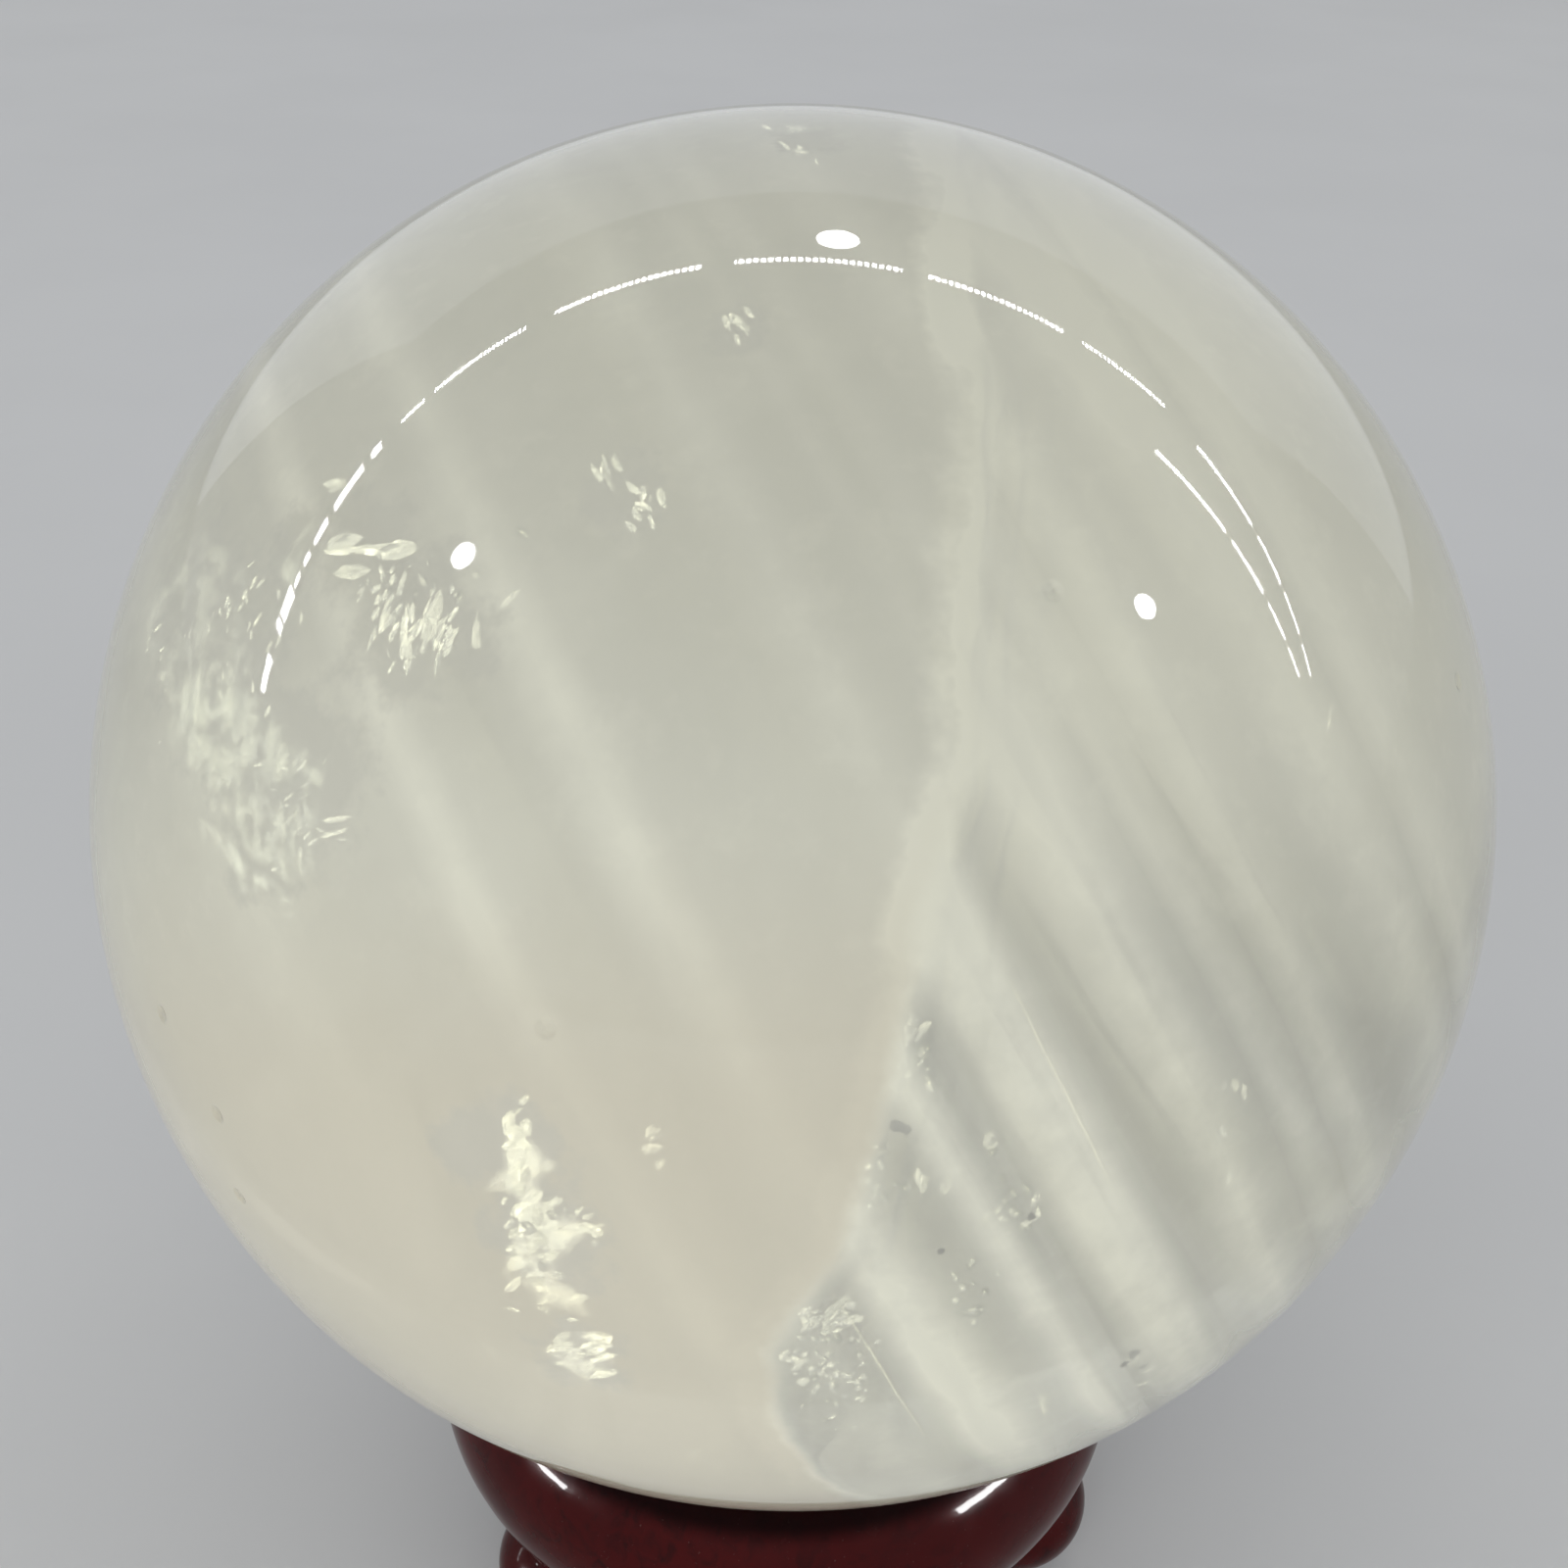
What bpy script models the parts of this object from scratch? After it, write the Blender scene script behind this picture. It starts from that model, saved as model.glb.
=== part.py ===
"""A polished quartz sphere resting on a turned wooden ring stand with three bun feet.

Metres, +Z up. The origin is the middle of the footprint, at the level of the surface it stands on.
The camera side is -Y.
"""

import math

import bmesh
import bpy
from mathutils import Matrix

# Driving dimensions
SPHERE_RADIUS = 0.075
CONTACT_GAP = 0.0003

RING_ROLL_RADIUS = 0.0142
RING_ROLL_CENTRE_RADIUS = 0.0306
RING_ROLL_CENTRE_HEIGHT = 0.0254
RING_UNDERSIDE_HEIGHT = 0.0135

FOOT_PLACES = ("right", "back", "left")
FOOT_FIRST_AZIMUTH = math.radians(-18.0)
FOOT_CENTRE_RADIUS = 0.0335
FOOT_CORE_RADIUS = 0.0048
FOOT_BULGE = 0.0057
FOOT_HEIGHT = RING_UNDERSIDE_HEIGHT - CONTACT_GAP

# How finely the round shapes are faceted
SPHERE_SUBDIVISIONS = 5
RING_STEPS = 72
RING_ARC_POINTS = 22
FOOT_STEPS = 24
FOOT_ARC_POINTS = 9
SHARP_ANGLE = math.radians(40.0)


def sphere_centre_height():
    """Height at which the sphere sits on the ring's round top, with the contact gap between them."""
    centre_distance = SPHERE_RADIUS + CONTACT_GAP + RING_ROLL_RADIUS
    rise = math.sqrt(centre_distance ** 2 - RING_ROLL_CENTRE_RADIUS ** 2)
    return RING_ROLL_CENTRE_HEIGHT + rise


def plain_material(name, colour, roughness):
    """A non-metallic material with the given colour and roughness."""
    material = bpy.data.materials.new(name)
    material.use_nodes = True
    shader = material.node_tree.nodes["Principled BSDF"]
    shader.inputs["Base Color"].default_value = (*colour, 1.0)
    shader.inputs["Roughness"].default_value = roughness
    shader.inputs["Metallic"].default_value = 0.0
    return material


def new_object(name, mesh, material):
    """One named object with its material, shaded smooth except at its sharp edges."""
    mesh.materials.append(material)
    mesh.shade_smooth()
    mesh.set_sharp_from_angle(angle=SHARP_ANGLE)
    part = bpy.data.objects.new(name, mesh)
    bpy.context.scene.collection.objects.link(part)
    return part


def turned_mesh(name, profile, steps):
    """Turns a closed loop of (radius, height) points a full circle round Z."""
    model = bmesh.new()
    rings = []
    for step in range(steps):
        turn = Matrix.Rotation(2.0 * math.pi * step / steps, 4, "Z")
        rings.append([model.verts.new((radius, 0.0, height)) for radius, height in profile])
        bmesh.ops.transform(model, matrix=turn, verts=rings[-1])
    for step in range(steps):
        near = rings[step]
        far = rings[(step + 1) % steps]
        for low in range(len(profile)):
            high = (low + 1) % len(profile)
            model.faces.new((near[low], near[high], far[high], far[low]))
    bmesh.ops.recalc_face_normals(model, faces=model.faces)
    mesh = bpy.data.meshes.new(name)
    model.to_mesh(mesh)
    model.free()
    return mesh


def capped_turned_mesh(name, profile, steps):
    """Turns an open line of (radius, height) points round Z and closes both ends with flat faces."""
    model = bmesh.new()
    rings = []
    for radius, height in profile:
        circle = bmesh.ops.create_circle(model, segments=steps, radius=radius, cap_ends=False)
        bmesh.ops.translate(model, verts=circle["verts"], vec=(0.0, 0.0, height))
        rings.append(circle["verts"])
    for upper, lower in zip(rings, rings[1:]):
        for step in range(steps):
            after = (step + 1) % steps
            model.faces.new((upper[step], upper[after], lower[after], lower[step]))
    model.faces.new(rings[0])
    model.faces.new(rings[-1])
    bmesh.ops.recalc_face_normals(model, faces=model.faces)
    mesh = bpy.data.meshes.new(name)
    model.to_mesh(mesh)
    model.free()
    return mesh


def make_quartz_sphere():
    """The natural stone: one true ball, ground and polished all over."""
    model = bmesh.new()
    bmesh.ops.create_icosphere(model, subdivisions=SPHERE_SUBDIVISIONS, radius=SPHERE_RADIUS)
    mesh = bpy.data.meshes.new("quartz_sphere")
    model.to_mesh(mesh)
    model.free()
    quartz = plain_material("milky_quartz", (0.72, 0.71, 0.64), 0.05)
    sphere = new_object("quartz_sphere", mesh, quartz)
    sphere.location = (0.0, 0.0, sphere_centre_height())
    return sphere


def ring_profile():
    """The ring's round section, cut off flat below so that it has a level underside."""
    drop = RING_ROLL_CENTRE_HEIGHT - RING_UNDERSIDE_HEIGHT
    cut_angle = math.asin(drop / RING_ROLL_RADIUS)
    start = math.pi + cut_angle
    end = -cut_angle
    points = []
    for index in range(RING_ARC_POINTS):
        angle = start + (end - start) * index / (RING_ARC_POINTS - 1)
        radius = RING_ROLL_CENTRE_RADIUS + RING_ROLL_RADIUS * math.cos(angle)
        height = RING_ROLL_CENTRE_HEIGHT + RING_ROLL_RADIUS * math.sin(angle)
        points.append((radius, height))
    return points


def make_stand_ring(lacquer):
    """The ring that carries the sphere: a thick round roll turned from one piece of wood."""
    mesh = turned_mesh("stand_ring", ring_profile(), RING_STEPS)
    return new_object("stand_ring", mesh, lacquer)


def foot_profile():
    """A bun foot from its top face, round its bulge, to its bottom face."""
    middle = FOOT_HEIGHT / 2.0
    points = []
    for index in range(FOOT_ARC_POINTS):
        angle = math.pi * (0.5 - index / (FOOT_ARC_POINTS - 1))
        radius = FOOT_CORE_RADIUS + FOOT_BULGE * math.cos(angle)
        points.append((radius, middle + middle * math.sin(angle)))
    return points


def make_stand_feet(lacquer):
    """Three equal feet under the ring, a third of a turn apart."""
    feet = []
    for index, place in enumerate(FOOT_PLACES):
        azimuth = FOOT_FIRST_AZIMUTH + 2.0 * math.pi * index / len(FOOT_PLACES)
        name = f"stand_foot_{place}"
        mesh = capped_turned_mesh(name, foot_profile(), FOOT_STEPS)
        foot = new_object(name, mesh, lacquer)
        foot.location = (
            FOOT_CENTRE_RADIUS * math.cos(azimuth),
            FOOT_CENTRE_RADIUS * math.sin(azimuth),
            0.0,
        )
        feet.append(foot)
    return feet


def main():
    """Clears the scene's objects and models the sphere and its stand."""
    for old in list(bpy.data.objects):
        bpy.data.objects.remove(old, do_unlink=True)
    make_quartz_sphere()
    lacquer = plain_material("red_lacquered_wood", (0.16, 0.008, 0.010), 0.12)
    make_stand_ring(lacquer)
    make_stand_feet(lacquer)


main()
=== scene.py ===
"""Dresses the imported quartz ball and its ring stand.

The stone gets its polish and its inside, and the stand its lacquer.

Metres, +Z up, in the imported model's own frame. The camera side is -Y.
Places in and on the ball are in ball radii, in the ball's own frame: X to the viewer's right,
Y up the face that the photograph shows, Z out of it towards the viewer.
"""

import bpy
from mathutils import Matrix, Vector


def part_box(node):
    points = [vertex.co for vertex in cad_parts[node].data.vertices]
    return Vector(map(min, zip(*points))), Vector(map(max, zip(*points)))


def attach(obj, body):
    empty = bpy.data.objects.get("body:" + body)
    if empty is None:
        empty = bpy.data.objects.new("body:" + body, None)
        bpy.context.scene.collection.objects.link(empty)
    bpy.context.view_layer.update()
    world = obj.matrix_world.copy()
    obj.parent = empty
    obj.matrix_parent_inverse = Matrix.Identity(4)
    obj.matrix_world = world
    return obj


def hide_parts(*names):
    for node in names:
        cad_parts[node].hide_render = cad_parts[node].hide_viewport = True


bl_info = {
    "name": "Quartz Ball on a Ring Stand",
    "version": (1, 0, 0),
    "blender": (4, 5, 0),
    "location": "3D View > Sidebar > Quartz Ball",
    "description": "Dresses a milky quartz ball with growth bands and flakes, and its lacquered stand",
    "category": "Object",
}

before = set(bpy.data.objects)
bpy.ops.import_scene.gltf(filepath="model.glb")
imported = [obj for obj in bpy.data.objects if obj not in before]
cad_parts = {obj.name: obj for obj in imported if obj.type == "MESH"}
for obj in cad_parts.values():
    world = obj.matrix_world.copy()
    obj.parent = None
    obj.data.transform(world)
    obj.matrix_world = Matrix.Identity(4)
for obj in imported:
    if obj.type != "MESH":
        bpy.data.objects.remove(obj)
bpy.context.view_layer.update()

import math
import random
from typing import NamedTuple

import bmesh
import bpy
from bpy.props import FloatProperty, FloatVectorProperty, IntProperty, PointerProperty
from mathutils import Matrix, Vector, noise

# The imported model's sizes, which every piece follows
BALL_LOW, BALL_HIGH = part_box("quartz_sphere")
RING_LOW, RING_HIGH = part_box("stand_ring")
BALL_CENTRE = (Vector(BALL_LOW) + Vector(BALL_HIGH)) / 2.0
BALL_RADIUS = (BALL_HIGH[2] - BALL_LOW[2]) / 2.0
FOOT_NODES = ("stand_foot_right", "stand_foot_back", "stand_foot_left")
BODY = "root"
QUARTZ_SLOT = "milky_quartz"
WOOD_SLOT = "red_lacquered_wood"

# The photograph's camera, in pixels of its 1600 x 1600 frame
PHOTO_SIZE = 1600.0
PHOTO_MIDDLE = 800.0
FOCAL_PIXELS = 2000.0
BALL_PIXEL = (808.0, 821.0)
BALL_PIXEL_RADIUS = 718.5
SENSOR_WIDTH = 36.0
CAMERA_ELEVATION = math.radians(32.0)
CAMERA_ROLL = math.radians(1.63)
CAMERA_DISTANCE = 1.0 / math.sin(math.atan(BALL_PIXEL_RADIUS / FOCAL_PIXELS))

# The stone's inside: growth bands are parallel planes, read from the photograph
QUARTZ_IOR = 1.544
RIGHT_GROWTH = Vector((0.872, 0.488, 0.04)).normalized()
LEFT_GROWTH = Vector((0.891, 0.454, -0.03)).normalized()
RIDGE_PIXELS = (
    (950, 110), (960, 200), (975, 312), (989, 407), (979, 525), (975, 666),
    (970, 808), (950, 880), (902, 1104), (858, 1241), (830, 1297), (778, 1402), (846, 1514),
)


class Band(NamedTuple):
    """One growth band along the growth direction, in ball radii.

    It rises over a width to its crest level, stays milky for its flat width and falls again.
    """
    rise: float
    crest: float
    flat: float
    fall: float
    strength: float


RIGHT_BANDS = (
    Band(0.040, -0.240, 0.000, 0.030, 0.35), Band(0.030, -0.142, 0.022, 0.050, 1.15),
    Band(0.028, 0.000, 0.000, 0.028, 1.35), Band(0.030, 0.085, 0.055, 0.028, 0.95),
    Band(0.045, 0.245, 0.020, 0.050, 0.90), Band(0.025, 0.345, 0.004, 0.028, 0.60),
    Band(0.035, 0.420, 0.004, 0.035, 0.75), Band(0.050, 0.550, 0.030, 0.030, 0.60),
    Band(0.025, 0.645, 0.020, 0.050, 0.65),
)
LEFT_BANDS = (
    Band(0.040, -0.620, 0.040, 0.030, 0.40), Band(0.030, -0.378, 0.020, 0.026, 1.00),
    Band(0.035, -0.205, 0.022, 0.032, 0.90), Band(0.050, 0.050, 0.022, 0.030, 0.50),
    Band(0.018, 0.160, 0.000, 0.018, 0.25), Band(0.022, 0.215, 0.004, 0.020, 0.35),
    Band(0.045, 0.320, 0.020, 0.040, 0.45),
)


def colour_setting(name, description, default):
    """A colour that the user can change."""
    return FloatVectorProperty(
        name=name, description=description, default=default, subtype="COLOR", size=3, min=0.0, max=1.0)


def share_setting(name, description, default):
    """A share from 0 to 1 that the user can change."""
    return FloatProperty(
        name=name, description=description, default=default, subtype="FACTOR", min=0.0, max=1.0)


def brightness_setting(name, description, default):
    """The brightness of a light that the user can change."""
    return FloatProperty(name=name, description=description, default=default, min=0.0, max=500.0)


class QuartzSettings(bpy.types.PropertyGroup):
    """Colours and clearness of the stone."""
    milk_colour: colour_setting(
        "Milk Colour", "Colour of the milky growth bands", (0.985, 0.975, 0.825))
    clear_colour: colour_setting(
        "Clear Colour", "Colour of the clearer stone between the bands", (0.815, 0.812, 0.742))
    warm_colour: colour_setting(
        "Warm Colour", "Faint pinkish cream of the stone's lower left part", (0.87, 0.812, 0.662))
    milk_clearness: share_setting(
        "Milk Clearness", "Share of light that passes the milky bands", 0.28)
    warm_clearness: share_setting(
        "Warm Clearness", "Share of light that passes the stone's warm lower left part", 0.43)
    window_clearness: share_setting(
        "Window Clearness", "Share of light that passes the clearer stone between the bands", 0.70)
    patch_clearness: share_setting(
        "Patch Clearness", "Share of light that passes the clear patches over the flakes", 0.52)
    roughness: share_setting(
        "Polish Roughness", "Roughness of the polished surface", 0.02)
    absorption_density: FloatProperty(
        name="Absorption Density", description="How strongly the stone takes colour from light, per metre",
        default=3.0, min=0.0, max=100.0)
    seed: IntProperty(
        name="Flake Seed", description="Seed of the scattered flakes and bubbles",
        default=11, min=0)


class StandSettings(bpy.types.PropertyGroup):
    """Colours and gloss of the lacquered stand."""
    lacquer_colour: colour_setting(
        "Lacquer Colour", "Deep red of the lacquer", (0.070, 0.0018, 0.0022))
    grain_colour: colour_setting(
        "Grain Colour", "Darker wood grain that shows through the lacquer", (0.030, 0.0015, 0.002))
    gloss_roughness: share_setting(
        "Gloss Roughness", "Roughness of the lacquer's clear top coat", 0.04)
    orange_peel: FloatProperty(
        name="Orange Peel", description="Height of the lacquer's gentle waviness",
        default=0.00003, min=0.0, max=0.001, subtype="DISTANCE", unit="LENGTH")


class StudioSettings(bpy.types.PropertyGroup):
    """Brightness of the studio round the ball."""
    floor_colour: colour_setting(
        "Floor Colour", "Colour of the plain pale floor", (0.78, 0.785, 0.79))
    sky_brightness: brightness_setting(
        "Sky Brightness", "Brightness of the even light from all round", 0.54)
    mirrored_sky: share_setting(
        "Mirrored Sky", "Share of the sky's brightness that the polish mirrors to the camera", 0.05)
    panel_brightness: brightness_setting(
        "Panel Brightness", "Brightness of the large soft panel behind the ball", 0.30)
    front_brightness: brightness_setting(
        "Front Brightness", "Brightness of the large soft box in front of the ball", 0.86)
    low_brightness: brightness_setting(
        "Low Brightness", "Brightness of the wide low box that lifts the ball's underside", 2.4)
    glint_brightness: brightness_setting(
        "Glint Brightness", "Brightness of the soft box that only the stone's inside catches", 22.0)
    stand_lamp_brightness: brightness_setting(
        "Stand Lamp Brightness", "Brightness of the small lamps that only the lacquer catches", 90.0)
    strip_brightness: brightness_setting(
        "Strip Brightness", "Brightness of the slim strip lights overhead", 45.0)
    lamp_brightness: brightness_setting(
        "Lamp Brightness", "Brightness of the small round lamps overhead", 25.0)


# Geometry helpers

def level_axes():
    """Level right, up the shown face and out of it, before the camera's roll."""
    outward = Vector((0.0, -math.cos(CAMERA_ELEVATION), math.sin(CAMERA_ELEVATION)))
    level_right = Vector((1.0, 0.0, 0.0))
    return level_right, outward.cross(level_right), outward


def face_axes():
    """The ball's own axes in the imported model's frame: right, up the shown face, and out of it."""
    level_right, level_up, outward = level_axes()
    right = math.cos(CAMERA_ROLL) * level_right + math.sin(CAMERA_ROLL) * level_up
    up = math.cos(CAMERA_ROLL) * level_up - math.sin(CAMERA_ROLL) * level_right
    return right, up, outward


def face_turn():
    """The rotation from the ball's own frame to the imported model's frame."""
    return Matrix(face_axes()).transposed().to_4x4()


def sight_direction(pixel):
    """The direction in which the camera sees a pixel of the photograph, in the ball's frame."""
    across = (pixel[0] - BALL_PIXEL[0]) / FOCAL_PIXELS
    upward = (BALL_PIXEL[1] - pixel[1]) / FOCAL_PIXELS
    return Vector((across, upward, -1.0)).normalized()


def surface_point(pixel):
    """Where the ball's surface shows at a pixel of the photograph, in ball radii."""
    eye = Vector((0.0, 0.0, CAMERA_DISTANCE))
    sight = sight_direction(pixel)
    along = eye.dot(sight)
    spare = max(along * along - eye.length_squared + 1.0, 0.0)
    return eye + sight * (-along - math.sqrt(spare))


def inner_point(pixel, depth):
    """The point that shows at a pixel after the sight line has gone that deep into the quartz."""
    surface = surface_point(pixel)
    normal = surface.normalized()
    sight = sight_direction(pixel)
    cosine = -sight.dot(normal)
    ratio = 1.0 / QUARTZ_IOR
    turned_in = math.sqrt(1.0 - ratio * ratio * (1.0 - cosine * cosine))
    bent = ratio * sight + (ratio * cosine - turned_in) * normal
    return surface + bent.normalized() * depth


def ridge_across(height):
    """How far right the healed fracture stands at a height on the shown face, in ball radii."""
    line = [surface_point(pixel) for pixel in RIDGE_PIXELS]
    if height >= line[0].y:
        return line[0].x
    for upper, lower in zip(line, line[1:]):
        if height >= lower.y:
            share = (upper.y - height) / (upper.y - lower.y)
            return upper.x + (lower.x - upper.x) * share
    return line[-1].x


def mesh_from(model, name, turn=None):
    """Turns a bmesh into a smooth mesh and frees it."""
    if turn is not None:
        model.transform(turn)
    mesh = bpy.data.meshes.new(name)
    model.to_mesh(mesh)
    model.free()
    mesh.shade_smooth()
    return mesh


def light_group(name):
    """A group of pieces that some of the lights are kept to."""
    return bpy.data.collections.get(name) or bpy.data.collections.new(name)


def add_piece(name, mesh, material, slot, origin=(0.0, 0.0, 0.0), shut_in=False, glints=False):
    """Links a piece to the scene, gives it its material and lets it ride on the object's body.

    A piece shut in the stone is only seen through it, and casts no shadow. One that glints
    catches the glint box's light.
    """
    mesh.materials.append(material)
    piece = bpy.data.objects.new(name, mesh)
    piece.location = origin
    piece.visible_shadow = not shut_in
    piece.visible_diffuse = not shut_in
    piece.visible_glossy = not shut_in
    bpy.context.scene.collection.objects.link(piece)
    light_group("stone" if slot == QUARTZ_SLOT else "stand").objects.link(piece)
    if glints:
        light_group("glinting").objects.link(piece)
    if not shut_in:
        light_group("polished").objects.link(piece)
    bpy.context.view_layer.update()
    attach(piece, BODY)
    return piece


def add_inner_piece(name, mesh, material, glints=False):
    """Adds a piece that is shut in the stone."""
    add_piece(name, mesh, material, QUARTZ_SLOT, BALL_CENTRE, shut_in=True, glints=glints)


# Material helpers

class Graph:
    """A material's node tree, with short ways to add nodes and feed their sockets."""

    def __init__(self, name):
        self.material = bpy.data.materials.new(name)
        self.material.use_nodes = True
        self.nodes = self.material.node_tree.nodes
        self.links = self.material.node_tree.links
        self.nodes.clear()
        self.output = self.nodes.new("ShaderNodeOutputMaterial")

    def feed(self, socket, value):
        """Links a socket to another one, or sets its plain value."""
        if isinstance(value, bpy.types.NodeSocket):
            self.links.new(value, socket)
        else:
            socket.default_value = value

    def node(self, kind, inputs=None, **settings):
        """Adds a shader node with its settings and fed inputs."""
        made = self.nodes.new("ShaderNode" + kind)
        for key, value in settings.items():
            setattr(made, key, value)
        for key, value in (inputs or {}).items():
            self.feed(made.inputs[key], value)
        return made

    def maths(self, operation, *values, clamp=False):
        """The result of a calculation on one to three numbers."""
        made = self.node("Math", operation=operation, use_clamp=clamp)
        for socket, value in zip(made.inputs, values):
            self.feed(socket, value)
        return made.outputs[0]

    def ramp(self, value, low, high, to_low=0.0, to_high=1.0):
        """A soft step from to_low at low to to_high at high."""
        made = self.node("MapRange", {
            "Value": value, "From Min": low, "From Max": high, "To Min": to_low, "To Max": to_high,
        }, interpolation_type="SMOOTHSTEP")
        return made.outputs["Result"]

    def noise(self, vector, scale, detail=3.0, roughness=0.5, distortion=0.0):
        """Cloudy noise from 0 to 1."""
        made = self.node("TexNoise", {
            "Vector": vector, "Scale": scale, "Detail": detail,
            "Roughness": roughness, "Distortion": distortion,
        })
        return made.outputs[0]

    def blend(self, factor, low, high):
        """A colour between low and high."""
        made = self.node("Mix", data_type="RGBA")
        self.feed(made.inputs[0], factor)
        for socket, value in ((made.inputs[6], low), (made.inputs[7], high)):
            self.feed(socket, value if isinstance(value, bpy.types.NodeSocket) else (*value, 1.0))
        return made.outputs[2]

    def mix(self, factor, low, high):
        """A number between low and high."""
        made = self.node("Mix", data_type="FLOAT")
        self.feed(made.inputs[0], factor)
        self.feed(made.inputs[2], low)
        self.feed(made.inputs[3], high)
        return made.outputs[0]

    def place(self):
        """The point on a piece in its own frame, in ball radii."""
        coordinates = self.node("TexCoord").outputs["Object"]
        parts = self.node("CombineXYZ")
        for socket, axis in zip(parts.inputs, face_axes()):
            self.feed(socket, self.along(coordinates, axis / BALL_RADIUS))
        return parts.outputs[0]

    def along(self, vector, direction):
        """How far a point lies along a direction."""
        made = self.node("VectorMath", {0: vector, 1: direction}, operation="DOT_PRODUCT")
        return made.outputs["Value"]

    def split(self, vector):
        """The three numbers of a vector."""
        parts = self.node("SeparateXYZ", {"Vector": vector})
        return parts.outputs[0], parts.outputs[1], parts.outputs[2]

    def bump(self, height, distance):
        """A normal that follows a height from 0 to 1, which stands for the distance in metres."""
        return self.node("Bump", {"Height": height, "Distance": distance}).outputs["Normal"]

    def surface(self, shader):
        """Uses a shader as the material's surface."""
        self.links.new(shader, self.output.inputs["Surface"])


# How unevenly the growth bands and the healed fracture run, in ball radii
BAND_WAVER = 0.024
RIDGE_WAVER = 0.07


def growth_level(graph, place, direction, waver):
    """How far a point lies along a growth direction, with the bands' slight unevenness."""
    uneven = graph.maths("MULTIPLY_ADD", waver, BAND_WAVER, -0.5 * BAND_WAVER)
    return graph.maths("ADD", graph.along(place, direction), uneven)


def band_ramp(graph, level, bands):
    """Milkiness across the growth bands, as a colour ramp over levels from -1 to 1."""
    ramp = graph.node("ValToRGB")
    stops = ramp.color_ramp
    marks = []
    for band in bands:
        start = band.crest - band.rise
        if marks:
            start = max(start, marks[-1][0] + 0.002)
        marks += [(start, 0.0), (band.crest, band.strength)]
        if band.flat > 0.01:
            marks.append((band.crest + band.flat, band.strength))
        marks.append((band.crest + band.flat + band.fall, 0.0))
    for index, (mark, value) in enumerate(marks):
        where = 0.5 + mark / 2.0
        stop = stops.elements[index] if index < 2 else stops.elements.new(min(where, 1.0))
        stop.position = where
        stop.color = (value, value, value, 1.0)
    stops.interpolation = "B_SPLINE"
    graph.feed(ramp.inputs[0], graph.maths("MULTIPLY_ADD", level, 0.5, 0.5))
    return ramp.outputs[0]


def ridge_offset(graph, place, waver):
    """How far right of the healed fracture a point lies."""
    across, height, _ = graph.split(place)
    curve = graph.node("FloatCurve")
    points = curve.mapping.curves[0].points
    line = sorted((0.5 + p.y / 2.0, 0.5 + p.x / 2.0) for p in map(surface_point, RIDGE_PIXELS))
    for index, (at, value) in enumerate(line):
        if index < 2:
            points[index].location = (at, value)
        else:
            points.new(at, value)
    curve.mapping.update()
    graph.feed(curve.inputs["Value"], graph.maths("MULTIPLY_ADD", height, 0.5, 0.5))
    ridge = graph.maths("MULTIPLY_ADD", curve.outputs[0], 2.0, -1.0)
    uneven = graph.maths("MULTIPLY_ADD", waver, RIDGE_WAVER, -0.5 * RIDGE_WAVER)
    return graph.maths("ADD", graph.maths("SUBTRACT", across, ridge), uneven)


# The stone's further colours
PATCH_COLOUR = (0.96, 0.95, 0.87)
# Painted shade: the grey that darkens the stone towards its top
TOP_SHADE_COLOUR = (0.60, 0.605, 0.575)
ABSORPTION_COLOUR = (0.88, 0.87, 0.78, 1.0)
SHADOW_COLOUR = (0.68, 0.68, 0.67, 1.0)
# How milky the plain stone is left of the healed fracture, and right of it high and low on the face
LEFT_MILK = 0.50
RIGHT_MILK_HIGH = 0.72
RIGHT_MILK_LOW = 0.16
# How much more milk each feature adds
LEFT_BAND_MILK = 0.62
RIGHT_BAND_MILK_HIGH = 0.72
RIGHT_BAND_MILK_LOW = 1.3
BAND_MILK = 0.64
CLOUD_MILK = 0.16
FINE_MILK = 0.06
# Milk added at the ball's very bottom: less see-through there, and paler as painted light on its underside
BOTTOM_PAINTED_LIGHT_MILK = 0.7
RIDGE_MILK = 0.5


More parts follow.
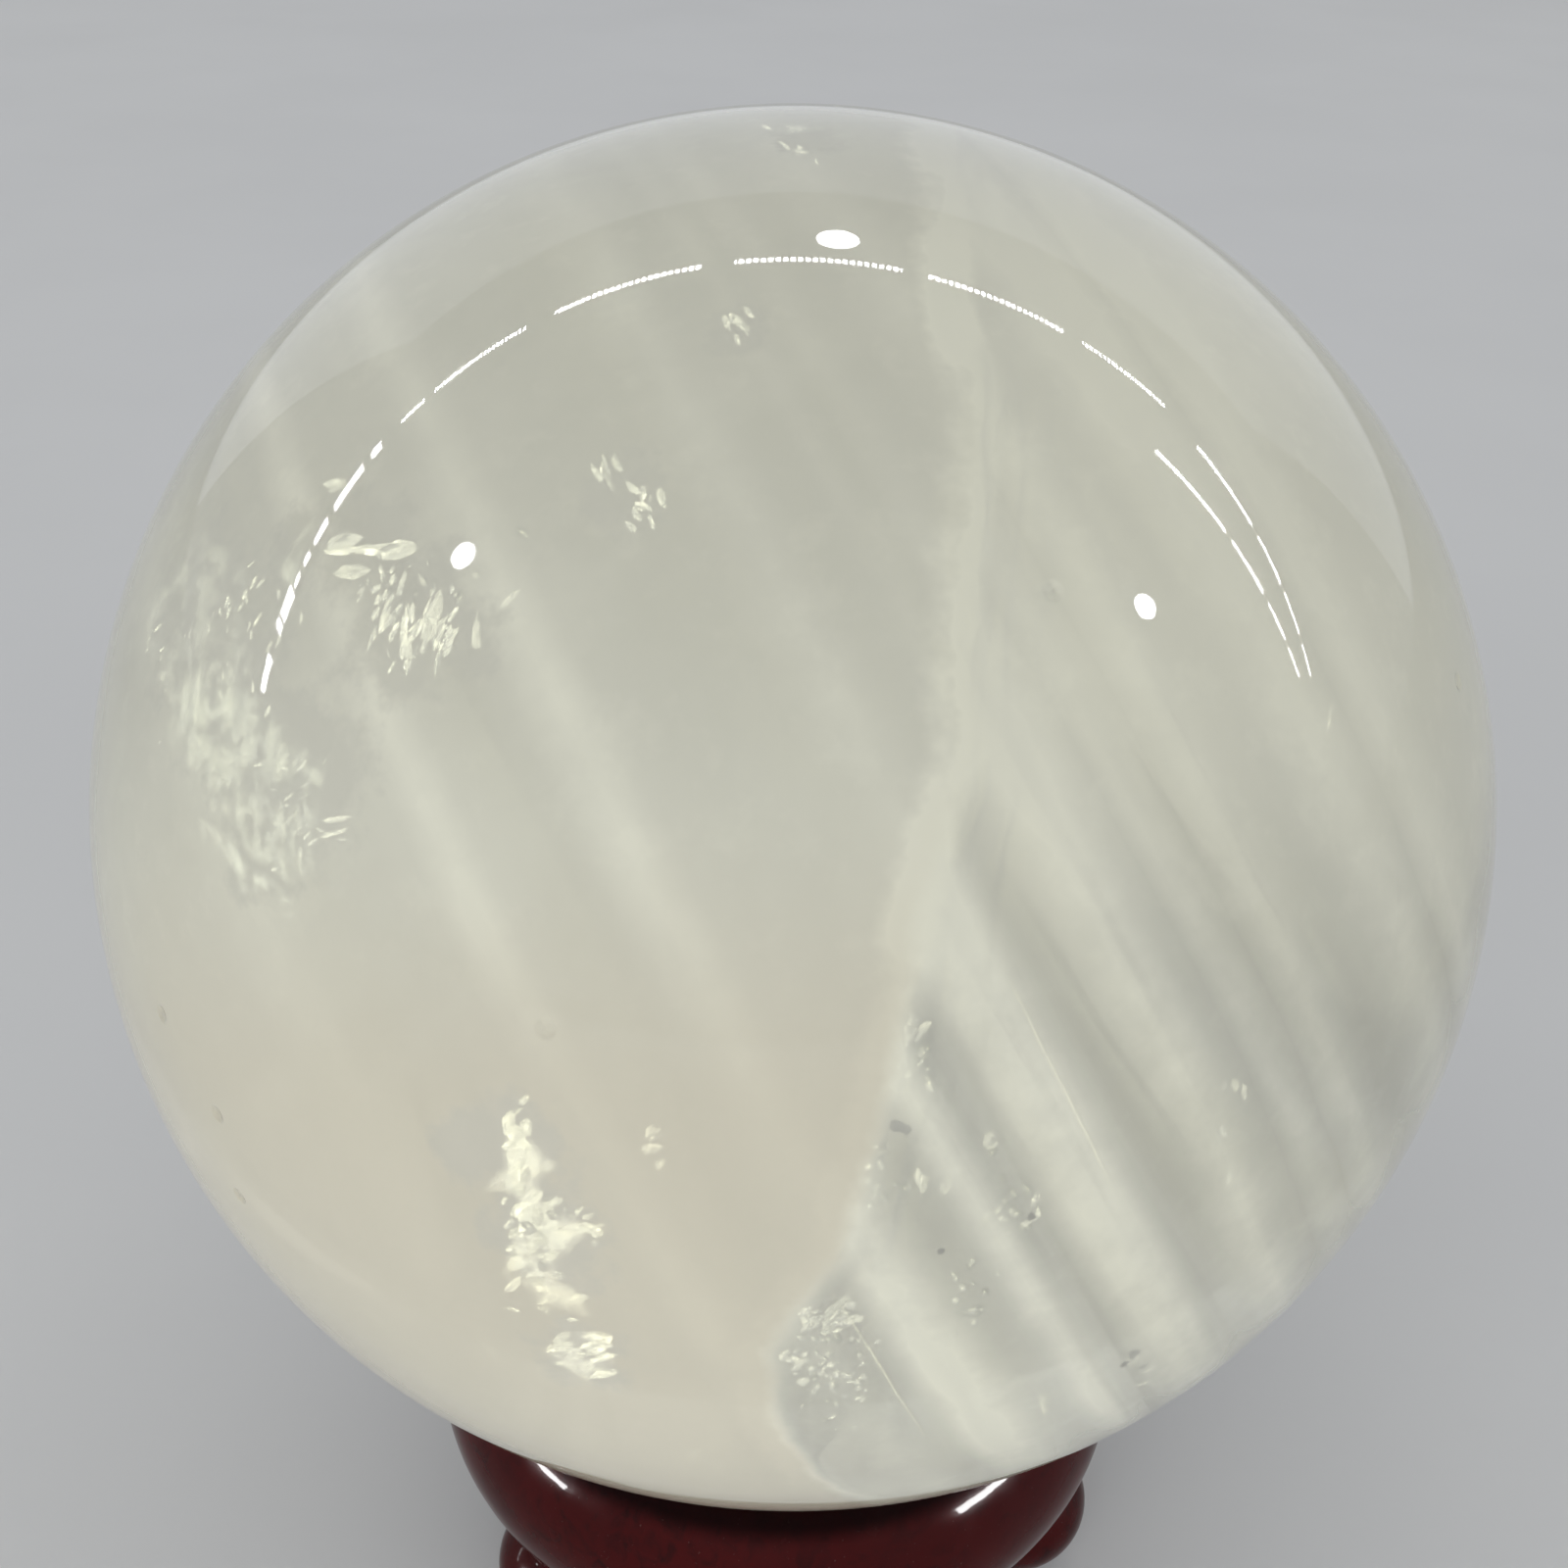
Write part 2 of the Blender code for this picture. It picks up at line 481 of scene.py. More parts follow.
def quartz_material(settings):
    """Milky quartz: clear between its growth bands, cloudy in them, with a warm lower left part, painted
    shade towards its top and painted light at its very bottom.
    """
    graph = Graph("polished_milky_quartz")
    place = graph.place()
    broad = graph.noise(place, scale=1.8, detail=4.0, roughness=0.6, distortion=0.3)
    middle = graph.noise(place, scale=6.0, detail=4.0, roughness=0.6)
    fine = graph.noise(place, scale=15.0, detail=3.0, roughness=0.62)
    waver = graph.noise(place, scale=3.0, detail=2.0)
    left_level = growth_level(graph, place, LEFT_GROWTH, waver)
    right_level = growth_level(graph, place, RIGHT_GROWTH, waver)
    offset = ridge_offset(graph, place, middle)
    _, height, _ = graph.split(place)

    right_side = graph.ramp(offset, -0.012, 0.02)
    left_bands = graph.maths("MULTIPLY", band_ramp(graph, left_level, LEFT_BANDS), LEFT_BAND_MILK)
    low_face = graph.ramp(height, 0.15, -0.25)
    band_share = graph.mix(low_face, RIGHT_BAND_MILK_HIGH, RIGHT_BAND_MILK_LOW)
    right_bands = graph.maths("MULTIPLY", band_ramp(graph, right_level, RIGHT_BANDS), band_share)
    patchy = graph.ramp(middle, 0.3, 0.7, to_low=0.7, to_high=1.1)
    bands = graph.maths("MULTIPLY", graph.mix(right_side, left_bands, right_bands), patchy)

    near_ridge = graph.maths("ABSOLUTE", graph.maths("ADD", offset, 0.004))
    ridge_light = graph.ramp(near_ridge, 0.042, 0.004)
    broken = graph.ramp(middle, 0.35, 0.65, to_low=0.45)
    ridge_light = graph.maths("MULTIPLY", ridge_light, broken)

    cloud = graph.ramp(broad, 0.35, 0.68)
    right_milk = graph.mix(low_face, RIGHT_MILK_HIGH, RIGHT_MILK_LOW)
    milk = graph.mix(right_side, LEFT_MILK, right_milk)
    milk = graph.maths("MULTIPLY_ADD", cloud, CLOUD_MILK, milk)
    milk = graph.maths("MULTIPLY_ADD", graph.ramp(fine, 0.5, 0.75), FINE_MILK, milk)
    milk = graph.maths("MULTIPLY_ADD", bands, BAND_MILK, milk)
    # More milk at the very bottom: less see-through, and painted light that makes the underside paler
    milk = graph.maths("MULTIPLY_ADD", graph.ramp(height, -0.80, -0.90), BOTTOM_PAINTED_LIGHT_MILK, milk)
    milk = graph.maths("MULTIPLY_ADD", ridge_light, RIDGE_MILK, milk, clamp=True)

    colour = graph.blend(milk, settings.clear_colour, settings.milk_colour)
    warm_side = graph.maths("SUBTRACT", 1.0, right_side)
    warm_low = graph.ramp(graph.maths("MULTIPLY_ADD", broad, 0.3, height), 0.2, -0.2)
    warm = graph.maths("MULTIPLY", graph.maths("MULTIPLY", warm_side, warm_low), 0.75)
    colour = graph.blend(warm, colour, settings.warm_colour)

    clear = graph.maths("SUBTRACT", 1.0, milk)
    clearness = graph.mix(clear, settings.milk_clearness, settings.window_clearness)
    clearness = graph.mix(warm, clearness, settings.warm_clearness)
    share = graph.node("Attribute", attribute_name="window").outputs["Fac"]
    ragged = graph.noise(place, scale=20.0, detail=3.0, roughness=0.55)
    ragged = graph.maths("MULTIPLY_ADD", ragged, 1.6, -0.8)
    window = graph.ramp(graph.maths("ADD", share, ragged), 0.15, 0.75)
    window = graph.maths("MULTIPLY", window, graph.ramp(share, 0.0, 0.25))
    clearness = graph.mix(window, clearness, settings.patch_clearness)
    colour = graph.blend(graph.maths("MULTIPLY", window, 0.5), colour, PATCH_COLOUR)
    # Painted shade: the stone greyed towards its top
    painted_top_shade = graph.maths("MULTIPLY", graph.ramp(height, 0.60, 0.97), 0.55)
    colour = graph.blend(painted_top_shade, colour, TOP_SHADE_COLOUR)
    gloss = graph.ramp(fine, 0.45, 0.75, settings.roughness, settings.roughness + 0.02)

    shader = graph.node("BsdfPrincipled", {
        "Base Color": colour,
        "Roughness": gloss,
        "IOR": QUARTZ_IOR,
        "Transmission Weight": clearness,
    })
    # Light passes the polish to the pieces inside instead of being held back by it
    ray = graph.node("LightPath")
    open_way = graph.node("BsdfTransparent", {"Color": SHADOW_COLOUR})
    either = graph.node("MixShader", {0: ray.outputs["Is Shadow Ray"]})
    graph.links.new(shader.outputs[0], either.inputs[1])
    graph.links.new(open_way.outputs[0], either.inputs[2])
    graph.surface(either.outputs[0])

    volume = graph.node("VolumeAbsorption", {
        "Color": ABSORPTION_COLOUR, "Density": settings.absorption_density,
    })
    graph.links.new(volume.outputs[0], graph.output.inputs["Volume"])
    return graph.material


# The heights between which painted shade darkens the lacquer under the ball, and its clear coat thins
SEAT_SHADE_LOW = RING_HIGH[2] - 0.0054
SEAT_SHADE_HIGH = RING_HIGH[2] - 0.0034
SEAT_SHADE_COLOUR = (0.003, 0.0003, 0.0004)
DUST_COLOUR = (0.42, 0.36, 0.33)


def lacquer_material(settings):
    """Deep red lacquer over turned wood with fine dust on it, with painted shade and a thinner clear coat
    where the ball sits.
    """
    graph = Graph("deep_red_lacquer")
    coordinates = graph.node("TexCoord").outputs["Object"]
    stretched = graph.node("Mapping", {"Vector": coordinates, "Scale": (1.0, 0.16, 1.0)})
    grain = graph.noise(stretched.outputs[0], scale=420.0, detail=5.0, roughness=0.6, distortion=0.8)
    streak = graph.noise(stretched.outputs[0], scale=90.0, detail=3.0, distortion=0.5)
    streaks = graph.ramp(streak, 0.3, 0.7, to_low=0.3)
    dark = graph.maths("MULTIPLY", graph.ramp(grain, 0.45, 0.7), streaks)
    colour = graph.blend(dark, settings.lacquer_colour, settings.grain_colour)
    pooled = graph.ramp(graph.noise(coordinates, scale=60.0), 0.35, 0.7)
    colour = graph.blend(graph.maths("MULTIPLY", pooled, 0.35), colour, settings.grain_colour)
    dust = graph.ramp(graph.noise(coordinates, scale=2600.0, detail=2.0), 0.70, 0.78)
    colour = graph.blend(graph.maths("MULTIPLY", dust, 0.10), colour, DUST_COLOUR)
    _, _, height = graph.split(coordinates)
    # Painted shade: the lacquer darkened just under the ball, where its shadow falls
    seat_shade = graph.ramp(height, SEAT_SHADE_LOW, SEAT_SHADE_HIGH, to_high=0.9)
    colour = graph.blend(seat_shade, colour, SEAT_SHADE_COLOUR)
    coat = graph.ramp(height, SEAT_SHADE_LOW, SEAT_SHADE_HIGH, to_low=0.20, to_high=0.02)
    uneven = graph.noise(coordinates, scale=160.0, detail=4.0)
    rough = graph.ramp(uneven, 0.4, 0.8, to_low=0.16, to_high=0.30)
    peel = graph.noise(coordinates, scale=260.0, detail=2.0)
    normal = graph.bump(peel, settings.orange_peel)
    shader = graph.node("BsdfPrincipled", {
        "Base Color": colour,
        "Roughness": rough,
        "Specular IOR Level": 0.05,
        "IOR": 1.5,
        "Coat Weight": coat,
        "Coat Roughness": settings.gloss_roughness,
        "Coat IOR": 1.52,
        "Normal": normal,
        "Coat Normal": normal,
    })
    graph.surface(shader.outputs[0])
    return graph.material


def floor_material(settings):
    """Plain pale matt floor with a barely seen mottle."""
    graph = Graph("plain_pale_floor")
    coordinates = graph.node("TexCoord").outputs["Object"]
    mottle = graph.ramp(graph.noise(coordinates, scale=7.0, detail=5.0), 0.3, 0.7)
    paler = tuple(min(1.0, part * 1.03) for part in settings.floor_colour)
    colour = graph.blend(mottle, settings.floor_colour, paler)
    shader = graph.node("BsdfPrincipled", {
        "Base Color": colour, "Roughness": 0.75, "Specular IOR Level": 0.25,
    })
    graph.surface(shader.outputs[0])
    return graph.material


def veil_material(name, colour, alpha_low, alpha_high, scale, roughness, threshold):
    """A thin milky film inside the stone, broken up like a healed surface.

    It is as solid as alpha_high where its noise is above the threshold, and as alpha_low elsewhere.
    """
    graph = Graph(name)
    place = graph.place()
    patches = graph.noise(place, scale, detail=2.0, roughness=0.65)
    broken = graph.ramp(patches, threshold, threshold + 0.22)
    strength = graph.node("Attribute", attribute_name="strength").outputs["Fac"]
    alpha = graph.maths("MULTIPLY", graph.mix(broken, alpha_low, alpha_high), strength)
    shader = graph.node("BsdfPrincipled", {
        "Base Color": (*colour, 1.0), "Roughness": roughness, "Specular IOR Level": 0.3, "Alpha": alpha,
    })
    graph.surface(shader.outputs[0])
    return graph.material


def flake_material(name, colour, metallic, roughness):
    """A bright flake: a sliver of crack surface that mirrors light, with uneven gloss."""
    graph = Graph(name)
    place = graph.place()
    patches = graph.noise(place, scale=30.0)
    dimmer = tuple(part * 0.9 for part in colour)
    tint = graph.blend(graph.ramp(patches, 0.35, 0.65), colour, dimmer)
    rough = graph.ramp(patches, 0.3, 0.7, roughness, roughness + 0.2)
    shader = graph.node("BsdfPrincipled", {"Base Color": tint, "Roughness": rough, "Metallic": metallic})
    graph.surface(shader.outputs[0])
    return graph.material


# Clearer patches of stone: the pixel at their middle, and their inner and outer radius in ball radii
CLEAR_PATCHES = (
    ((300, 790), 0.03, 0.15), ((235, 720), 0.02, 0.17), ((190, 620), 0.02, 0.16),
    ((262, 870), 0.01, 0.10), ((300, 565), 0.01, 0.09), ((372, 556), 0.02, 0.09),
    ((415, 635), 0.03, 0.12), ((472, 648), 0.01, 0.07), ((530, 1165), 0.01, 0.09),
    ((560, 1265), 0.02, 0.10), ((595, 1385), 0.01, 0.09), ((480, 1170), 0.03, 0.06),
    ((640, 505), 0.01, 0.07), ((755, 335), 0.01, 0.05), ((820, 140), 0.01, 0.07),
)
WINDOWS = tuple((surface_point(pixel), inner, outer) for pixel, inner, outer in CLEAR_PATCHES)


def window_share(point):
    """How far a point of the surface lies inside the clear patches, from 0 to 1."""
    best = 0.0
    for centre, inner, outer in WINDOWS:
        gap = (point - centre).length
        share = min(max((outer - gap) / (outer - inner), 0.0), 1.0)
        best = max(best, share)
    return best


# The stone

# Tiny natural pits in the polish: the pixels of those that show, and how many more there are
PIT_PIXELS = ((165, 1035), (222, 1137), (245, 1220), (1075, 603))
MORE_PITS = 9
PIT_SEED = 5
PIT_RADIUS = 0.0009
PIT_DEPTH = 0.00025
PIT_ROUGHNESS = 2200.0
# In pit radii: how far round a pit the ball is divided more finely, step by step, and made round again
PIT_RINGS = (4.0, 2.6, 1.8)
PIT_EDGE = 5.0
BALL_SUBDIVISIONS = 7


def pit_centres():
    """Where the pits lie, as directions from the ball's middle."""
    rng = random.Random(PIT_SEED)
    centres = [surface_point(pixel) for pixel in PIT_PIXELS]
    for _ in range(MORE_PITS):
        away = Vector((rng.gauss(0, 1), rng.gauss(0, 1), rng.gauss(-0.6, 1)))
        centres.append(away.normalized())
    return centres


def ball_mesh():
    """A finely divided true ball with a few tiny natural pits in its polish."""
    model = bmesh.new()
    bmesh.ops.create_icosphere(model, subdivisions=BALL_SUBDIVISIONS, radius=BALL_RADIUS)
    for centre in pit_centres():
        middle = centre.normalized() * BALL_RADIUS
        for reach in PIT_RINGS:
            edges = [
                edge for edge in model.edges
                if (edge.verts[0].co - middle).length < PIT_RADIUS * reach
            ]
            bmesh.ops.subdivide_edges(model, edges=edges, cuts=1, use_grid_fill=True)
        for vertex in model.verts:
            gap = (vertex.co - middle).length / PIT_RADIUS
            if gap < PIT_EDGE:
                vertex.co = vertex.co.normalized() * BALL_RADIUS
            if gap < 1.0:
                ragged = 0.75 + 0.5 * noise.noise(vertex.co * PIT_ROUGHNESS)
                sink = PIT_DEPTH * (1.0 - gap * gap) * ragged
                vertex.co = vertex.co.normalized() * (BALL_RADIUS - sink)
    bmesh.ops.triangulate(model, faces=[face for face in model.faces if len(face.verts) > 3])
    layer = model.verts.layers.float.new("window")
    for vertex in model.verts:
        vertex[layer] = window_share(vertex.co / BALL_RADIUS)
    return mesh_from(model, "polished_quartz", face_turn())


# Growth veils

VEIL_STEP = 0.04
VEIL_REACH = 0.975
VEIL_WAVE = 0.006
VEIL_RAGGEDNESS = 0.05
# Only bands stronger than this go on into the stone as veils
VEIL_STRENGTH = 0.7


def sheet_mesh(rows):
    """A grid of faces from rows of (point, strength) or None, and the strength of each point."""
    model = bmesh.new()
    strengths = []
    grid = []
    for row in rows:
        line = []
        for entry in row:
            if entry is None:
                line.append(None)
                continue
            point, strength = entry
            line.append(model.verts.new(point * BALL_RADIUS))
            strengths.append(strength)
        grid.append(line)
    for lower, upper in zip(grid, grid[1:]):
        for index in range(len(lower) - 1):
            corners = [lower[index], lower[index + 1], upper[index + 1], upper[index]]
            corners = [corner for corner in corners if corner is not None]
            if len(corners) >= 3:
                model.faces.new(corners)
    return model, strengths


def finish_sheets(models, name):
    """Joins sheets into one mesh that carries their strengths."""
    joined = bmesh.new()
    layer = joined.verts.layers.float.new("strength")
    for model, strengths in models:
        copies = {}
        for vertex, strength in zip(model.verts, strengths):
            if not vertex.link_faces:
                continue
            copy = joined.verts.new(vertex.co)
            copy[layer] = strength
            copies[vertex] = copy
        for face in model.faces:
            joined.faces.new([copies[vertex] for vertex in face.verts])
        model.free()
    return mesh_from(joined, name, face_turn())


def veil_sheet(band, right_of_ridge):
    """One growth plane inside the ball, on one side of the healed fracture."""
    direction = RIGHT_GROWTH if right_of_ridge else LEFT_GROWTH
    first = direction.cross(Vector((0.0, 0.0, 1.0))).normalized()
    second = direction.cross(first).normalized()
    level = band.crest + band.flat / 2.0
    reach = math.sqrt(max(VEIL_REACH ** 2 - level ** 2, 0.0))
    count = max(4, round(2.0 * reach / VEIL_STEP))
    rows = []
    for row in range(count + 1):
        line = []
        for column in range(count + 1):
            across = reach * (2.0 * row / count - 1.0)
            along = reach * (2.0 * column / count - 1.0)
            point = direction * level + first * across + second * along
            point += direction * VEIL_WAVE * noise.noise(point * 4.0)
            ragged = VEIL_REACH - VEIL_RAGGEDNESS * abs(noise.noise(point * 6.0))
            beyond = point.x - ridge_across(point.y)
            kept = beyond > 0.0 if right_of_ridge else beyond < 0.0
            if not kept or point.length > ragged:
                line.append(None)
                continue
            line.append((point, band.strength))
        rows.append(line)
    return sheet_mesh(rows)


# The healed fracture: how far up and down the ball it reaches, and how finely it is divided
RIDGE_REACH = 0.93
RIDGE_ROWS = 110
RIDGE_COLUMNS = 44
RIDGE_LUMPS = 0.022


def ridge_sheet():
    """The uneven healed fracture that parts the stone's two halves, from the front to deep inside."""
    rows = []
    for row in range(RIDGE_ROWS + 1):
        height = RIDGE_REACH - 2.0 * RIDGE_REACH * row / RIDGE_ROWS
        line = []
        for column in range(RIDGE_COLUMNS + 1):
            share = column / RIDGE_COLUMNS
            across = ridge_across(height) + 0.02 + 0.05 * share
            front = math.sqrt(max(VEIL_REACH ** 2 - height ** 2 - across ** 2, 0.0))
            out = front * (1.0 - 1.7 * share)
            point = Vector((across, height, out))
            lump = noise.fractal(point * 5.0, 1.0, 2.1, 4)
            point.x += RIDGE_LUMPS * lump
            if point.length > VEIL_REACH:
                line.append(None)
                continue
            strength = 0.35 + 0.65 * (0.5 + 0.5 * noise.noise(point * 4.0 + Vector((9.0, 0.0, 0.0))))
            line.append((point, strength * (1.0 - 0.5 * share)))
        rows.append(line)
    return sheet_mesh(rows)


# Hairline cracks: fine pale lines just under the surface, as the pixels they run through
HAIRLINES = (
    ((842, 1308), (866, 1342), (893, 1384), (915, 1420), (938, 1454), (961, 1489)),
    ((1022, 985), (1045, 1030), (1066, 1074), (1090, 1120), (1112, 1164), (1136, 1214), (1158, 1262)),
)
HAIRLINE_WIDTH = 11.0
HAIRLINE_DEPTH = 0.03
HAIRLINE_STEPS = 8


def hairline_sheet(line):
    """A narrow crack along a line of pixels, fading out at its sides and its ends."""
    points = []
    for start, end in zip(line, line[1:]):
        first = Vector(start)
        points += [first.lerp(Vector(end), step / HAIRLINE_STEPS) for step in range(HAIRLINE_STEPS)]
    aside = (Vector(line[-1]) - Vector(line[0])).normalized().orthogonal()
    rows = []
    for index, middle in enumerate(points):
        taper = math.sin(math.pi * (index + 0.5) / len(points)) ** 0.5
        uneven = 0.75 + 0.5 * noise.noise(Vector((middle.x, middle.y, 0.0)) * 0.06)
        row = []
        for side in (-1.0, -0.4, 0.0, 0.4, 1.0):
            pixel = middle + aside * side * 0.5 * HAIRLINE_WIDTH * taper * uneven
            depth = HAIRLINE_DEPTH * (1.0 + 0.8 * abs(side))
            row.append((inner_point(pixel, depth), taper * (1.0 - abs(side))))
        rows.append(row)
    return sheet_mesh(rows)


# Fracture films: crack surfaces inside the outlines that show in the photograph

class Film(NamedTuple):
    """A crack surface: its outline in pixels, its depth and ripple in ball radii, and its plates.

    The lower its grain, the longer and more upright its wrinkles. Its strength is how solid it looks.
    """
    outline: tuple
    depth: float
    ripple: float
    grain: float
    plate_size: float
    tilt: float
    strength: float


LEFT_FILMS = (
    Film(((205, 540), (245, 560), (250, 640), (262, 700), (235, 760), (180, 740), (150, 680), (135, 620),
          (160, 590), (180, 545)),
         0.08, 0.03, 5.0, 0.035, 0.30, 0.36),
    Film(((160, 700), (215, 690), (265, 700), (300, 740), (335, 765), (330, 830), (318, 880), (330, 930),
          (300, 915), (262, 880), (225, 840), (190, 790), (165, 750)),
         0.09, 0.035, 4.0, 0.030, 0.40, 0.52),
    Film(((318, 525), (328, 545), (302, 590), (286, 612), (282, 575), (296, 545)),
         0.10, 0.006, 5.0, 0.06, 0.15, 0.85),
    Film(((200, 830), (232, 850), (275, 900), (312, 925), (300, 940), (255, 915), (215, 875)),
         0.09, 0.025, 6.0, 0.025, 0.4, 0.85),
)
PEARL_FILMS = (
    Film(((520, 1126), (524, 1150), (540, 1167), (553, 1184), (568, 1187), (557, 1213), (560, 1244),
          (577, 1242), (604, 1248), (588, 1274), (562, 1284), (568, 1306), (586, 1312), (608, 1335),
          (594, 1341), (559, 1336), (536, 1320), (513, 1306), (515, 1280), (536, 1254), (524, 1225),
          (492, 1213), (507, 1190), (513, 1161)),
         0.11, 0.016, 14.0, 0.035, 0.35, 1.0),
    Film(((588, 1358), (611, 1354), (628, 1364), (620, 1373), (606, 1378), (634, 1381), (617, 1398),
          (594, 1415), (566, 1396), (556, 1376)),
         0.10, 0.016, 14.0, 0.030, 0.35, 0.85),
    Film(((486, 1362), (500, 1372), (532, 1408), (524, 1412), (496, 1388)),
         0.08, 0.008, 12.0, 0.05, 0.2, 0.45),
)
# In pixels: how finely a film is divided, and the width over which it fades out at its outline
FILM_STEP = 3.0
FILM_FADE = 13.0
FILM_JITTER = 14.0
LEAST_DEPTH = 0.015


def inside_outline(pixel, outline):
    """Whether a pixel lies inside a closed outline."""
    inside = False
    for (ax, ay), (bx, by) in zip(outline, outline[1:] + outline[:1]):
        crosses = (ay > pixel[1]) != (by > pixel[1])
        if crosses and pixel[0] < ax + (bx - ax) * (pixel[1] - ay) / (by - ay):
            inside = not inside
    return inside


def outline_gap(pixel, outline):
    """How far a pixel lies from the nearest side of a closed outline."""
    place = Vector(pixel)
    gap = math.inf
    for start, end in zip(outline, outline[1:] + outline[:1]):
        first = Vector(start)
        side = Vector(end) - first
        share = min(max((place - first).dot(side) / side.length_squared, 0.0), 1.0)
        gap = min(gap, (place - first - side * share).length)
    return gap


def plate_height(point, size, tilt):
    """Height of a surface broken into small flat plates, each tilted its own way."""
    scaled = point / size
    nearest = noise.voronoi(scaled)[1][0]
    lean = noise.noise_vector(nearest * 3.7)
    return (scaled - nearest).dot(lean) * size * tilt


def film_sheet(film):
    """A crack surface inside its outline, rippled, broken into plates and with a ragged edge."""
    left = min(x for x, _ in film.outline) - FILM_STEP
    right = max(x for x, _ in film.outline) + FILM_STEP
    top = min(y for _, y in film.outline) - FILM_STEP
    bottom = max(y for _, y in film.outline) + FILM_STEP
    rows = []
    for row in range(int((bottom - top) / FILM_STEP) + 1):
        line = []
        for column in range(int((right - left) / FILM_STEP) + 1):
            pixel = (left + column * FILM_STEP, top + row * FILM_STEP)
            base = inner_point(pixel, film.depth)
            jitter = noise.noise_vector(base * 22.0) * FILM_JITTER
            moved = (pixel[0] + jitter.x, pixel[1] + jitter.y)
            if not inside_outline(moved, film.outline):
                line.append(None)
                continue
            edge = min(outline_gap(moved, film.outline) / FILM_FADE, 1.0)
            stretched = Vector((base.x * 20.0, base.y * film.grain, base.z * 9.0))
            depth = film.depth + film.ripple * noise.fractal(stretched, 0.9, 2.2, 4)
            depth += plate_height(base, film.plate_size, film.tilt)
            line.append((inner_point(pixel, max(depth, LEAST_DEPTH)), film.strength * edge))
        rows.append(line)
    return sheet_mesh(rows)


# Flakes, bubbles and grains

class Cluster(NamedTuple):
    """A group of flakes: its middle and spread in pixels, its depth in ball radii and its count.

    Its flakes' lengths are in pixels, slender is their width over their length, and lean their turn.
    """
    pixel: tuple
    spread: tuple
    depth: float
    count: int
    length: tuple
    slender: float
    lean: float


BRIGHT_CLUSTERS = (
    Cluster((372, 558), (34, 12), 0.10, 9, (16, 40), 0.45, 0.1),
    Cluster((426, 640), (48, 34), 0.12, 44, (12, 30), 0.28, 1.3),
    Cluster((400, 600), (40, 30), 0.14, 22, (5, 12), 0.5, 1.1),
    Cluster((458, 656), (3, 3), 0.11, 1, (22, 24), 0.35, 1.5),
    Cluster((484, 645), (3, 3), 0.11, 1, (30, 32), 0.35, 1.8),
    Cluster((338, 493), (12, 5), 0.10, 3, (14, 24), 0.5, 0.0),
    Cluster((622, 480), (14, 14), 0.05, 7, (8, 22), 0.3, 1.9),
    Cluster((655, 520), (20, 20), 0.05, 9, (8, 20), 0.4, 2.0),
    Cluster((755, 335), (10, 20), 0.05, 8, (8, 22), 0.35, 1.9),
    Cluster((820, 140), (30, 25), 0.05, 9, (10, 26), 0.3, 2.4),
    Cluster((300, 820), (30, 50), 0.14, 26, (5, 13), 0.30, 0.5),
    Cluster((250, 640), (40, 60), 0.10, 26, (5, 14), 0.35, 1.3),
    Cluster((165, 660), (22, 50), 0.06, 14, (5, 12), 0.4, 0.4),
    Cluster((345, 850), (20, 12), 0.15, 4, (10, 30), 0.18, 0.1),
)
PALE_CLUSTERS = (
    Cluster((668, 1172), (14, 18), 0.14, 7, (8, 18), 0.5, 0.8),
    Cluster((934, 1050), (16, 16), 0.16, 7, (8, 20), 0.4, 1.0),
    Cluster((948, 1208), (12, 18), 0.18, 7, (8, 24), 0.45, 1.8),
    Cluster((1012, 1160), (8, 10), 0.15, 4, (8, 14), 0.5, 1.0),
    Cluster((1055, 1236), (10, 14), 0.15, 5, (6, 14), 0.5, 1.0),
    Cluster((845, 1345), (26, 20), 0.14, 18, (7, 20), 0.6, 0.5),
    Cluster((822, 1395), (20, 18), 0.14, 14, (5, 12), 0.7, 0.5),
    Cluster((870, 1420), (34, 34), 0.18, 20, (4, 8), 0.8, 0.5),
    Cluster((1065, 1428), (4, 14), 0.10, 2, (24, 40), 0.18, 2.0),
    Cluster((1155, 1385), (16, 14), 0.07, 7, (8, 18), 0.4, 0.6),
    Cluster((1345, 745), (20, 24), 0.12, 6, (6, 14), 0.4, 1.2),
    Cluster((1255, 1140), (12, 40), 0.13, 6, (8, 20), 0.35, 1.9),
    Cluster((715, 1480), (22, 12), 0.10, 6, (5, 12), 0.6, 0.4),
)
PEARL_CLUSTERS = (
    Cluster((528, 1175), (12, 36), 0.11, 26, (8, 22), 0.6, 1.2),
    Cluster((548, 1250), (26, 34), 0.14, 34, (8, 24), 0.6, 0.9),
    Cluster((595, 1250), (20, 14), 0.13, 9, (8, 18), 0.5, 0.4),
    Cluster((598, 1380), (30, 20), 0.12, 22, (10, 30), 0.35, 0.4),
    Cluster((560, 1320), (26, 20), 0.14, 14, (8, 22), 0.4, 0.4),
)


# What is added to the seed setting for each further piece that draws at random
BUBBLE_SEED_STEP = 1
PEARL_SEED_STEP = 3
PALE_SEED_STEP = 7


def flake_outline(rng, length, slender):
    """An uneven flat outline of six to nine points, longer than it is wide."""
    count = rng.randint(6, 9)
    outline = []
    for index in range(count):
        angle = 2.0 * math.pi * (index + rng.uniform(-0.25, 0.25)) / count
        reach = rng.uniform(0.6, 1.0)
        x = 0.5 * length * reach * math.cos(angle)
        y = 0.5 * length * slender * reach * math.sin(angle)
        outline.append((x, y))
    return outline


# A flake's half thickness in ball radii, how much larger it is than its pixels say, and its random tilt
FLAKE_THICKNESS = 0.0016
FLAKE_GROWTH = 1.18
FLAKE_TILT = 0.35


